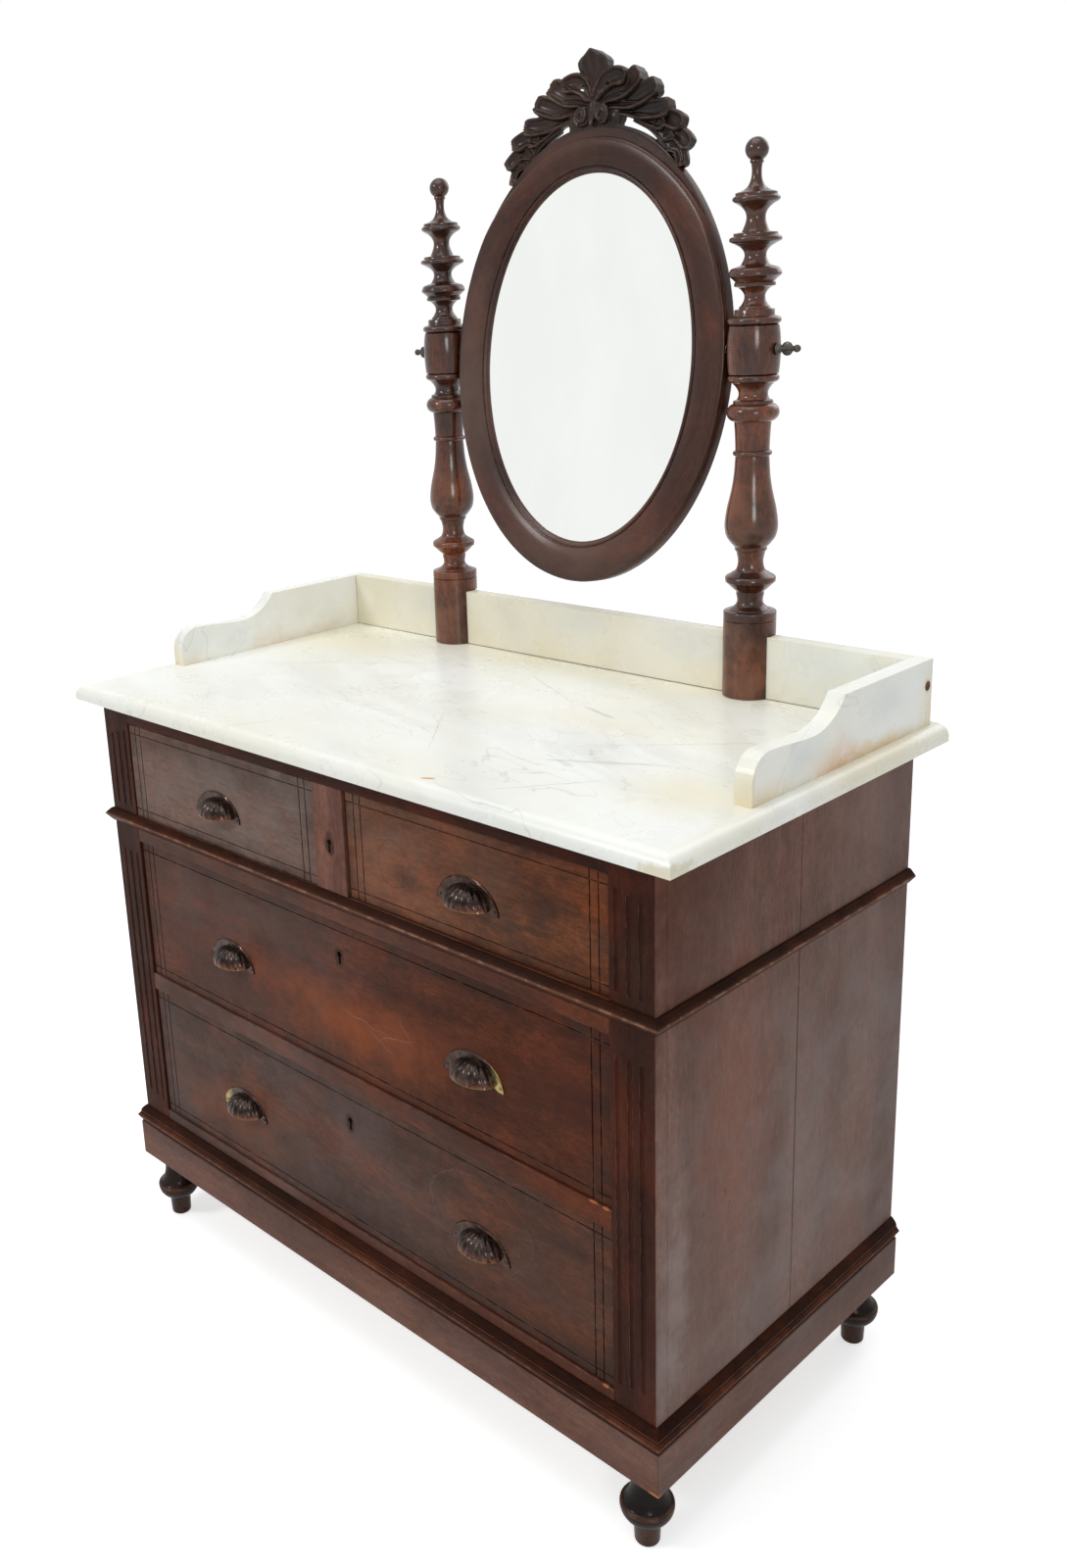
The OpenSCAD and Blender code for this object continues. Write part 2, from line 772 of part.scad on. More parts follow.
module mirror_backboard() {
    y = ring_t / 2 - rebate_d + glass_t + joint_gap;
    color(PINE) place_mirror() oval_plate(glass_a - 1, glass_b - 1, y, ring_t / 2 - 2);
}

// Threaded sockets in the frame's edge with a thin washer outside
module mirror_sockets() {
    color(BRONZE) place_mirror() both_sides() difference() {
        union() {
            rod_x(oval_a - socket_l, oval_a - 0.4, 0, pivot_rise, socket_r);
            rod_x(oval_a - 0.5, oval_a + 0.8, 0, pivot_rise, socket_r + 2);
        }
        rod_x(oval_a - socket_l + 2, oval_a + 2, 0, pivot_rise, screw_r + run_fit);
    }
}

// Leaf from p0 through the bend p1 to the tip p2, w wide at its fullest, round at the tip
function bezier(p0, p1, p2, t) = (1 - t) * (1 - t) * p0 + 2 * t * (1 - t) * p1 + t * t * p2;
function unit(v) = v / norm(v);
function leaf_half(w, t) = w / 2 * (0.22 + 0.78 * sin(110 * t)) * sqrt(1 - pow(t, 8));
function leaf_edge(p0, p1, p2, w, side, n = 10) = [for (i = [0:n]) let (
    k = side > 0 ? i : n - i,
    t = k / n,
    d = unit((1 - t) * (p1 - p0) + t * (p2 - p1))
) bezier(p0, p1, p2, t) + side * leaf_half(w, t) * [-d.y, d.x]];

module leaf(p0, p1, p2, w, t) {
    rotate([90, 0, 0]) linear_extrude(t) polygon(concat(
        leaf_edge(p0, p1, p2, w, 1), leaf_edge(p0, p1, p2, w, -1)
    ));
}

// Carved crest: upright centre leaf, four fronds each side, two volutes and two trailing scrolls
module mirror_crest() {
    back = ring_t / 2;
    seat = oval_b - 1;
    color(CARVED) place_mirror() difference() {
        translate([0, back, 0]) {
            leaf([0, seat - 4], [0, seat + 40], [0, crest_top], 52, crest_t + 9);
            both_sides() {
                leaf([3, 322], [16, 352], [47, 372], 25, crest_t + 6);
                leaf([5, 318], [40, 338], [75, 365], 24, crest_t + 5);
                leaf([8, 315], [62, 320], [103, 345], 24, crest_t + 4);
                leaf([10, 318], [78, 312], [128, 311], 28, crest_t + 3);
                leaf([45, 322], [95, 312], [112, 285], 18, crest_t + 2);
                leaf([95, 310], [128, 305], [148, 268], 22, crest_t);
                leaf([100, 296], [112, 272], [139, 238], 26, crest_t);
                leaf([112, 300], [132, 300], [144, 292], 24, crest_t + 2);
                translate([21, 0, 317]) rotate([90, 0, 0]) cylinder(r = 17, h = crest_t + 4);
                translate([21, -crest_t - 4, 317]) sphere(9);
                translate([27, 0, 303]) rotate([90, 0, 0]) cylinder(r = 13, h = crest_t + 2);
            }
        }
        oval_plate(oval_a + joint_gap, oval_b + joint_gap, -ring_t, ring_t);
    }
}

// Wing screw that passes through the post into the mirror's socket
module wing_screw_right() {
    x0 = oval_a - socket_l + 3;
    x1 = post_x + 33 + 0.6;
    color(IRON) place() translate([0, post_y, pivot_z]) {
        rod_x(x0, x1 + 1, 0, 0, screw_r);
        rod_x(x1, x1 + 2, 0, 0, 7.5);
        rod_x(x1 + 1.9, x1 + 5, 0, 0, 5.5);
        translate([x1 + 13.5, 1.5, 0]) rotate([90, 0, 0]) cylinder(r = 8.4, h = 3);
        rod_x(x1 + 4, x1 + 25, 0, 0, 2.6);
        translate([x1 + 27, 0, 0]) sphere(4.6);
    }
}

module wing_screw_left() {
    mirror([1, 0, 0]) wing_screw_right();
}

// ---------------------------------------------------------------- drawers

// Where a drawer lies: left edge of its opening, right edge, floor of the opening, height, recess
UPPER_LEFT = [-open_x, -muntin_w / 2, upper_z, upper_h, recess_upper_left];
UPPER_RIGHT = [muntin_w / 2, open_x, upper_z, upper_h, recess_upper_right];
MIDDLE = [-open_x, open_x, middle_z, middle_h, recess_middle];
LOWER = [-open_x, open_x, lower_z, lower_h, recess_lower];

function left_of(d) = d[0] + front_gap;
function right_of(d) = d[1] - front_gap;
function floor_of(d) = d[2] + slide_gap;
function top_of(d) = d[2] + d[3] - front_gap_top;
function key_z(d) = top_of(d) - key_drop;

// Dovetails of one side, x0 outside and x1 inside, cut into or standing out of the front
module tails(d, x0, x1, gap) {
    count = 4;
    h = top_of(d) - box_drop - floor_of(d);
    pitch = h / count;
    y = d[4] + front_t - tail_d;
    for (i = [0:count - 1]) translate([min(x0, x1), 0, floor_of(d) + pitch * (i + 0.5)])
        rotate([90, 0, 90]) linear_extrude(abs(x1 - x0)) polygon([
            [y + gap, -pitch * 0.32 + gap], [y + tail_d + 1, -pitch * 0.20 + gap],
            [y + tail_d + 1, pitch * 0.20 - gap], [y + gap, pitch * 0.32 - gap]
        ]);
}

module drawer_front(d, locked) {
    x0 = left_of(d);
    x1 = right_of(d);
    z0 = floor_of(d);
    z1 = top_of(d);
    y = d[4];
    color(MAHOGANY) place() difference() {
        board([x0, y, z0], [x1 - x0, front_t, z1 - z0]);
        for (e = [line_end_1, line_end_2]) {
            block([x0 + e, y - 1, z0 - 1], [x0 + e + line_w, y + line_d, z1 + 1]);
            block([x1 - e - line_w, y - 1, z0 - 1], [x1 - e, y + line_d, z1 + 1]);
        }
        block([x0 - 1, y - 1, z0 + line_edge], [x1 + 1, y + line_d, z0 + line_edge + line_w]);
        block([x0 - 1, y - 1, z1 - line_edge - line_w], [x1 + 1, y + line_d, z1 - line_edge]);
        tails(d, x0 - 1, x0 + drawer_side_t, 0);
        tails(d, x1 - drawer_side_t, x1 + 1, 0);
        block([x0 + drawer_side_t - groove_d, y + front_t - groove_d, z0 + groove_z],
              [x1 - drawer_side_t + groove_d, y + front_t + 1, z0 + groove_z + drawer_bottom_t]);
        if (locked) {
            keyhole(0, key_z(d), y - 1, y + front_t + 1);
            lock_space(d, 0, 1);
        }
    }
}

// Room for the lock case and its bolt in the back of a front, running over past the top edge
module lock_space(d, gap, over) {
    y = d[4] + front_t;
    z = top_of(d);
    block([-lock_w / 2 + gap, y - lock_t + gap, z - lock_h - 14 + gap], [lock_w / 2 - gap, y + 1 - gap, z - 12]);
    block([-bolt_w / 2 - 2 + gap, y - bolt_t - 6 + gap, z - 14], [bolt_w / 2 + 2 - gap, y - 2 - gap, z + over - gap]);
}

module drawer_side(d, x0, x1) {
    z0 = floor_of(d);
    z1 = top_of(d) - box_drop;
    y0 = d[4] + front_t;
    y1 = d[4] + drawer_l;
    inward = x0 < (left_of(d) + right_of(d)) / 2 ? x1 - groove_d : x0 - 1;
    difference() {
        union() {
            block([x0, y0 + joint_gap, z0], [x1, y1, z1]);
            tails(d, x0, x1, joint_gap);
        }
        block([inward, y0 - 40, z0 + groove_z], [inward + groove_d + 1, y1 + 1, z0 + groove_z + drawer_bottom_t]);
    }
}

// Two sides and the back, which stands on the bottom board
module drawer_box(d) {
    x0 = left_of(d);
    x1 = right_of(d);
    z0 = floor_of(d);
    y1 = d[4] + drawer_l;
    color(PINE) place() {
        drawer_side(d, x0, x0 + drawer_side_t);
        drawer_side(d, x1 - drawer_side_t, x1);
        board([x0 + drawer_side_t + joint_gap, y1 - 18, z0 + groove_z + drawer_bottom_t + joint_gap],
              [x1 - x0 - 2 * (drawer_side_t + joint_gap), 9, top_of(d) - z0 - groove_z - drawer_bottom_t - 12]);
    }
}

module drawer_bottom(d) {
    x0 = left_of(d) + drawer_side_t - groove_d + 0.5;
    x1 = right_of(d) - drawer_side_t + groove_d - 0.5;
    y0 = d[4] + front_t - groove_d + 0.5;
    color(PINE) place() block([x0, y0, floor_of(d) + groove_z + joint_gap],
        [x1, d[4] + drawer_l - 6, floor_of(d) + groove_z + drawer_bottom_t - joint_gap]);
}

// Cup pull: crescent back plate with a hollow quarter dome that is open below

module cup_pull(d, x, rise) {
    z = floor_of(d) + rise;
    inner = [for (p = ellipse(dome_a - dome_t, dome_r - dome_t, 48)) if (p.y >= -0.01) [max(p.y, 0), p.x]];
    outer = [for (p = ellipse(dome_a, dome_r, 48)) if (p.y >= -0.01) [max(p.y, 0), p.x]];
    color(BRONZE) place() translate([x, d[4] - joint_gap, z]) {
        pull_plate();
        pull_dome(outer, inner);
    }
}

module pull_plate() {
    rotate([90, 0, 0]) linear_extrude(plate_t) difference() {
        polygon([for (p = ellipse(pull_a, pull_b, 64)) if (p.y >= -0.01) p]);
        polygon([[-pull_a + 7, -1], [-dome_a + 4, rim_rise], [dome_a - 4, rim_rise], [pull_a - 7, -1]]);
    }
}

module pull_dome(outer, inner) {
    translate([0, 0, rim_rise]) rotate([0, 90, 0]) rotate([0, 0, 180]) rotate_extrude(angle = 90)
        difference() {
            polygon(outer);
            polygon(inner);
        }
}

module front_upper_left() drawer_front(UPPER_LEFT, false);
module front_upper_right() drawer_front(UPPER_RIGHT, false);
module front_middle() drawer_front(MIDDLE, true);
module front_lower() drawer_front(LOWER, true);
module box_upper_left() drawer_box(UPPER_LEFT);
module box_upper_right() drawer_box(UPPER_RIGHT);
module box_middle() drawer_box(MIDDLE);
module box_lower() drawer_box(LOWER);
module bottom_upper_left() drawer_bottom(UPPER_LEFT);
module bottom_upper_right() drawer_bottom(UPPER_RIGHT);
module bottom_middle() drawer_bottom(MIDDLE);
module bottom_lower() drawer_bottom(LOWER);
module pull_upper_left() cup_pull(UPPER_LEFT, -pull_x, pull_rise_upper);
module pull_upper_right() cup_pull(UPPER_RIGHT, pull_x, pull_rise_upper);
module pulls_middle() both_sides() cup_pull(MIDDLE, pull_x, pull_rise);
module pulls_lower() both_sides() cup_pull(LOWER, pull_x, pull_rise);

// Lock case behind the front, hollow where the bolt slides
module drawer_lock(d) {
    color(BRONZE) place() difference() {
        lock_space(d, joint_gap, 0);
        bolt_body(d, 0.4, bolt_travel + 1);
        keyhole(0, key_z(d), d[4], d[4] + front_t - 3);
    }
}

// Bolt, w wider all round and longer by up
module bolt_body(d, w, up) {
    y = d[4] + front_t - bolt_back - bolt_t;
    z = top_of(d) - 1;
    block([-bolt_w / 2 - w, y - w, z - bolt_l - w], [bolt_w / 2 + w, y + bolt_t + w, z + up]);
}

module lock_middle() drawer_lock(MIDDLE);
module lock_lower() drawer_lock(LOWER);

module bolt_middle() {
    color(IRON) place() bolt_body(MIDDLE, 0, 0);
}

module bolt_lower() {
    color(IRON) place() bolt_body(LOWER, 0, 0);
}

// ---------------------------------------------------------------- nodes

marble_top();
marble_back();
marble_side_left();
marble_side_right();
gallery_pins();
side_left();
side_right();
stile_left();
stile_right();
top_rail();
top_bearers();
muntin();
waist_rail();
middle_rail();
bottom_rail();
waist_moulding();
base_moulding();
plinth_front();
plinth_left();
plinth_right();
plinth_back();
corner_blocks();
foot_front_left();
foot_front_right();
foot_back_left();
foot_back_right();
back_boards();
runners();
drawer_stops();
post_left();
post_right();
post_screws();
muntin_lock();
mirror_frame();
mirror_glass();
mirror_backboard();
mirror_crest();
mirror_sockets();
wing_screw_left();
wing_screw_right();
front_upper_left();
front_upper_right();
front_middle();
front_lower();
box_upper_left();
box_upper_right();
box_middle();
box_lower();
bottom_upper_left();
bottom_upper_right();
bottom_middle();
bottom_lower();
pull_upper_left();
pull_upper_right();
pulls_middle();
pulls_lower();
lock_middle();
lock_lower();
bolt_middle();
bolt_lower();
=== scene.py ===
"""The looks of a washstand with a marble top, four drawers and a tilting oval mirror."""

import json
import logging
import math
from collections.abc import Callable, Iterable, Sequence
from dataclasses import dataclass, field, replace
from enum import Enum

import bmesh
import bpy
from mathutils import Matrix, Vector, noise

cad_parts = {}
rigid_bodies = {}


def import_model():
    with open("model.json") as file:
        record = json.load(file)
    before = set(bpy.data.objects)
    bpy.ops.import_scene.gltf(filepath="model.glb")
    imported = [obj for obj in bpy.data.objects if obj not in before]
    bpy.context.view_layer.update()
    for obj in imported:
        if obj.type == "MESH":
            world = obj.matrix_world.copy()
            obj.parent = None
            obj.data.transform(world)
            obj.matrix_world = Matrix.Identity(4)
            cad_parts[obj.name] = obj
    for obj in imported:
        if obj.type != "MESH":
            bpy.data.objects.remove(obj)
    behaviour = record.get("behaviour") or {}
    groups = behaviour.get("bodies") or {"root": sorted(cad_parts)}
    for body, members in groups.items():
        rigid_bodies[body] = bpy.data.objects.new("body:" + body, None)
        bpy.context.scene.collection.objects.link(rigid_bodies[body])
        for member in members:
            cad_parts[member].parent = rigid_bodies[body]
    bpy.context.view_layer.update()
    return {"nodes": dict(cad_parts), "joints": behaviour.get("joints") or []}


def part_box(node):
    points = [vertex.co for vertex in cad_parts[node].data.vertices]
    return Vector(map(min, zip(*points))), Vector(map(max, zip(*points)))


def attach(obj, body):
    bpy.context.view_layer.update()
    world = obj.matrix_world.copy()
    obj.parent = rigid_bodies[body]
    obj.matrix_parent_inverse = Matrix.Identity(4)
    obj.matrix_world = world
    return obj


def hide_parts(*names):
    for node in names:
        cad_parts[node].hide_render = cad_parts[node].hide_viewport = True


for leftover in list(bpy.data.objects):
    bpy.data.objects.remove(leftover)
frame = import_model()

LOG = logging.getLogger("washstand")
MM = 0.001
FORWARD = Matrix.Rotation(math.pi / 2, 4, "X")
ORIGIN = Vector((0, 0, 0))

Colour = tuple[float, float, float]
Point2 = tuple[float, float]
Point3 = tuple[float, float, float]
Socket = bpy.types.NodeSocket


def srgb(red: float, green: float, blue: float) -> Colour:
    """Turn a colour as a screen shows it, 0 to 255, into scene light.

    Args:
        red: Red on the screen.
        green: Green on the screen.
        blue: Blue on the screen.

    Returns:
        The linear colour.
    """
    shares = (red / 255, green / 255, blue / 255)
    return tuple(c / 12.92 if c <= 0.04045 else ((c + 0.055) / 1.055) ** 2.4 for c in shares)


class Grain(Enum):
    """Which way the fibres of a piece of timber run."""

    ALONG_X = "x"
    ALONG_Y = "y"
    ALONG_Z = "z"
    ROUND_OVAL = "oval"


# ------------ materials


@dataclass(frozen=True)
class Mark:
    """A patch, scratch, crack or ring at one place of a surface."""

    place: Point3
    size: Point3
    colour: Colour
    share: float = 0.5
    turn: Point3 = (0.0, 0.0, 0.0)
    ring: float = 0.0
    wobble: float = 0.0
    ragged: float = 0.5
    core: float = 0.55
    grit: float = 70.0


def patch(
    place: Point3, size: Point3, colour: Colour, share: float, turn: float = 0.0, ragged: float = 0.7
) -> Mark:
    """A broad change of tone without any clear edge, turned about Y.

    Args:
        place: Its middle.
        size: Its reach along each axis.
        colour: Its colour.
        share: How strong it is in its middle.
        turn: Its slant in radians.
        ragged: How cloudy it is.

    Returns:
        The mark.
    """
    return Mark(place, size, colour, share, (0, turn, 0), ragged=ragged, core=-0.25, grit=24.0)


@dataclass(frozen=True)
class Fade:
    """A change from 1 at one place to 0 at another, even across the line between them."""

    start: Point3
    end: Point3


@dataclass(frozen=True)
class Border:
    """A smoky, darker band along the edges of an upright panel that faces the front: handling marks together
    with painted shade.
    """

    centre: Point3
    half: Point2
    reach: float = 0.034
    colour: Colour = srgb(46, 34, 31)
    share: float = 0.5


class NodeWeb:
    """A material's node tree, with one short call for each kind of node that the finishes use."""

    def __init__(self, name: str) -> None:
        """Start an empty material.

        Args:
            name: Name of the material.
        """
        self.material = bpy.data.materials.new(name)
        self.material.use_nodes = True
        self.tree = self.material.node_tree
        self.tree.nodes.clear()

    def node(self, kind: str, inputs: dict[str, object] | None = None, **settings: object) -> bpy.types.Node:
        """Add a node, set its properties and fill or link its inputs.

        Args:
            kind: The node's type without the ShaderNode prefix.
            inputs: Values or sockets for inputs, by their name or number.
            **settings: Properties of the node itself.

        Returns:
            The new node.
        """
        made = self.tree.nodes.new("ShaderNode" + kind)
        for key, value in settings.items():
            setattr(made, key, value)
        for key, value in (inputs or {}).items():
            self.feed(made.inputs[key], value)
        return made

    def feed(self, target: Socket, value: object) -> None:
        """Link a socket to a target input, or set the input's own value.

        Args:
            target: The input.
            value: A socket, a number, a colour or a vector.
        """
        if isinstance(value, Socket):
            self.tree.links.new(value, target)
            return
        if isinstance(value, (tuple, list)) and target.type == "RGBA":
            value = (*value[:3], 1.0)
        target.default_value = value

    def math(self, operation: str, *values: object, clamp: bool = False) -> Socket:
        """Work out a number from sockets and numbers.

        Args:
            operation: The operation, as Blender names it.
            *values: The operands.
            clamp: Whether the result is kept between 0 and 1.

        Returns:
            The result.
        """
        made = self.node("Math", dict(enumerate(values)), operation=operation, use_clamp=clamp)
        return made.outputs[0]

    def times(self, first: object, *others: object) -> Socket:
        """The product of sockets and numbers.

        Args:
            first: A socket or a number.
            *others: What it is multiplied by.

        Returns:
            The product.
        """
        for other in others:
            first = self.math("MULTIPLY", first, other)
        return first

    def spot(self) -> Socket:
        """Coordinates on the piece, in metres."""
        return self.node("TexCoord").outputs["Object"]

    def parts(self, vector: Socket) -> Sequence[Socket]:
        """The three numbers of a vector."""
        return self.node("SeparateXYZ", {0: vector}).outputs

    def vector(self, operation: str, *values: object, **settings: object) -> bpy.types.Node:
        """Work out a vector; the node is returned because its result may be a vector or a number."""
        return self.node("VectorMath", dict(enumerate(values)), operation=operation, **settings)

    def scaled(self, vector: Socket, factor: object) -> Socket:
        """Make a colour or vector stronger or weaker by a factor."""
        return self.node("VectorMath", {0: vector, "Scale": factor}, operation="SCALE").outputs[0]

    def mix(self, share: object, first: object, second: object, blend: str = "MIX") -> Socket:
        """Mix two colours.

        Args:
            share: How much of the second colour shows.
            first: Colour at share 0.
            second: Colour at share 1.
            blend: The way in which the second goes over the first.

        Returns:
            The mixed colour.
        """
        made = self.node("Mix", data_type="RGBA", blend_type=blend, clamp_factor=True)
        for index, value in ((0, share), (6, first), (7, second)):
            self.feed(made.inputs[index], value)
        return made.outputs[2]

    def ramp(self, share: Socket, low: float, high: float, start: float = 0.0, end: float = 1.0) -> Socket:
        """Stretch a number from low..high to start..end with soft ends.

        Args:
            share: The number.
            low: Value that becomes start.
            high: Value that becomes end.
            start: Result at low.
            end: Result at high.

        Returns:
            The stretched number.
        """
        sockets = {"Value": share, "From Min": low, "From Max": high, "To Min": start, "To Max": end}
        return self.node("MapRange", sockets, interpolation_type="SMOOTHSTEP").outputs[0]

    def noise(
        self, place: Socket, scale: float, detail: float = 3.0, rough: float = 0.5, warp: float = 0.0
    ) -> Socket:
        """Cloudy noise.

        Args:
            place: Where it is looked up.
            scale: Clouds per metre.
            detail: How many finer layers it has.
            rough: How strong the finer layers are.
            warp: How far it is distorted.

        Returns:
            The noise, about 0.5 on average.
        """
        sockets = {"Vector": place, "Scale": scale, "Detail": detail, "Roughness": rough, "Distortion": warp}
        return self.node("TexNoise", sockets).outputs["Fac"]

    def swayed(self, place: Socket, scale: float, reach: float, detail: float = 2.0) -> Socket:
        """Bend coordinates by cloudy noise.

        Args:
            place: The coordinates.
            scale: Clouds per metre.
            reach: Full width of the bending in metres.
            detail: How many finer layers the clouds have.

        Returns:
            The bent coordinates.
        """
        cloud = self.node("TexNoise", {"Vector": place, "Scale": scale, "Detail": detail}).outputs["Color"]
        off = self.vector("SUBTRACT", cloud, (0.5, 0.5, 0.5)).outputs[0]
        return self.vector("ADD", place, self.scaled(off, reach)).outputs[0]

    def stretched(self, place: Socket, size: Sequence[float], shift: Sequence[float] = (0, 0, 0)) -> Socket:
        """Scale and shift coordinates.

        Args:
            place: The coordinates.
            size: Scale along each axis.
            shift: Distance added after scaling.

        Returns:
            The new coordinates.
        """
        return self.node("Mapping", {"Vector": place, "Location": shift, "Scale": size}).outputs[0]

    def painted(self, name: str) -> Socket:
        """A value that was painted on the piece's points; 0 where the piece has none."""
        return self.node("Attribute", attribute_name=name, attribute_type="GEOMETRY").outputs["Fac"]

    def crevice(self, reach: float) -> Socket:
        """How deep in a corner or groove a point lies: 0 in the open, 1 deep inside."""
        made = self.node("AmbientOcclusion", {"Distance": reach}, samples=8, only_local=False)
        return self.math("SUBTRACT", 1.0, made.outputs["AO"], clamp=True)

    def ridge(self, reach: float) -> Socket:
        """How thin the piece is under a point: 0 on broad parts, 1 on sharp ridges."""
        made = self.node("AmbientOcclusion", {"Distance": reach}, samples=8, only_local=True, inside=True)
        return self.math("SUBTRACT", 1.0, made.outputs["AO"], clamp=True)

    def edge(self, radius: float) -> Socket:
        """How close a point lies to a convex or hollow edge: 0 on a flat, 1 on the edge.

        Args:
            radius: Reach of the edge in metres.

        Returns:
            The share.
        """
        rounded = self.node("Bevel", {"Radius": radius}, samples=6).outputs[0]
        flat = self.node("NewGeometry").outputs["Normal"]
        along = self.vector("DOT_PRODUCT", rounded, flat).outputs["Value"]
        return self.ramp(along, 0.995, 0.86)

    def faded(self, place: Socket, fade: Fade) -> Socket:
        """The share of a fade at a place.

        Args:
            place: Coordinates on the piece.
            fade: The fade.

        Returns:
            The share.
        """
        start, end = Vector(fade.start), Vector(fade.end)
        along = start - end
        away = self.vector("SUBTRACT", place, tuple(end)).outputs[0]
        length = self.vector("DOT_PRODUCT", away, tuple(along / along.length_squared)).outputs["Value"]
        return self.ramp(length, 0.0, 1.0)

    def bordered(self, base: Socket, place: Socket, border: Border) -> Socket:
        """Darken a colour along the edges of a panel.

        Args:
            base: The colour so far.
            place: Coordinates on the panel.
            border: The band.

        Returns:
            The new colour.
        """
        local = self.parts(self.stretched(place, (1, 1, 1), tuple(-c for c in border.centre)))
        gaps = [
            self.math("SUBTRACT", half, self.math("ABSOLUTE", local[axis]))
            for half, axis in zip(border.half, (0, 2))
        ]
        near = self.ramp(self.math("MINIMUM", *gaps), border.reach, 0.004)
        cloud = self.ramp(self.noise(place, 26.0, 4.0, 0.65), 0.3, 0.68)
        return self.mix(self.times(near, cloud, border.share), base, border.colour)

    def marked(self, base: Socket, place: Socket, mark: Mark) -> Socket:
        """Lay one mark over a colour.

        Args:
            base: The colour so far.
            place: Coordinates on the surface.
            mark: The mark.

        Returns:
            The new colour.
        """
        if mark.wobble:
            place = self.swayed(place, 45.0, mark.wobble, 3.0)
        sockets = {"Vector": place, "Location": mark.place, "Rotation": mark.turn, "Scale": mark.size}
        local = self.node("Mapping", sockets, vector_type="TEXTURE").outputs[0]
        away = self.vector("LENGTH", local).outputs["Value"]
        if mark.ring:
            share = self.ramp(self.math("ABSOLUTE", self.math("SUBTRACT", away, 1.0)), mark.ring, 0.0)
        else:
            cloud = self.math("SUBTRACT", self.noise(place, mark.grit, 5.0, 0.65), 0.5)
            torn = self.math("ADD", away, self.times(cloud, 2 * mark.ragged))
            share = self.ramp(torn, 1.0, mark.core)
        return self.mix(self.times(share, mark.share), base, mark.colour)

    def bump(
        self, height: Socket, depth: float, strength: float = 1.0, normal: Socket | None = None
    ) -> Socket:
        """Surface relief from a height.

        Args:
            height: The height, 0 to 1.
            depth: Depth of a full step in metres.
            strength: How strongly it shows.
            normal: Relief that this one is added to.

        Returns:
            The new normal.
        """
        sockets = {"Height": height, "Distance": depth, "Strength": strength}
        if normal is not None:
            sockets["Normal"] = normal
        return self.node("Bump", sockets).outputs[0]

    def surface(self, **inputs: object) -> bpy.types.Material:
        """Finish the material with one principled shader.

        Args:
            **inputs: Values or sockets by the input's name, with _ for a space.

        Returns:
            The material.
        """
        shader = self.node("BsdfPrincipled", {key.replace("_", " "): value for key, value in inputs.items()})
        output = self.node("OutputMaterial")
        self.tree.links.new(shader.outputs[0], output.inputs["Surface"])
        return self.material


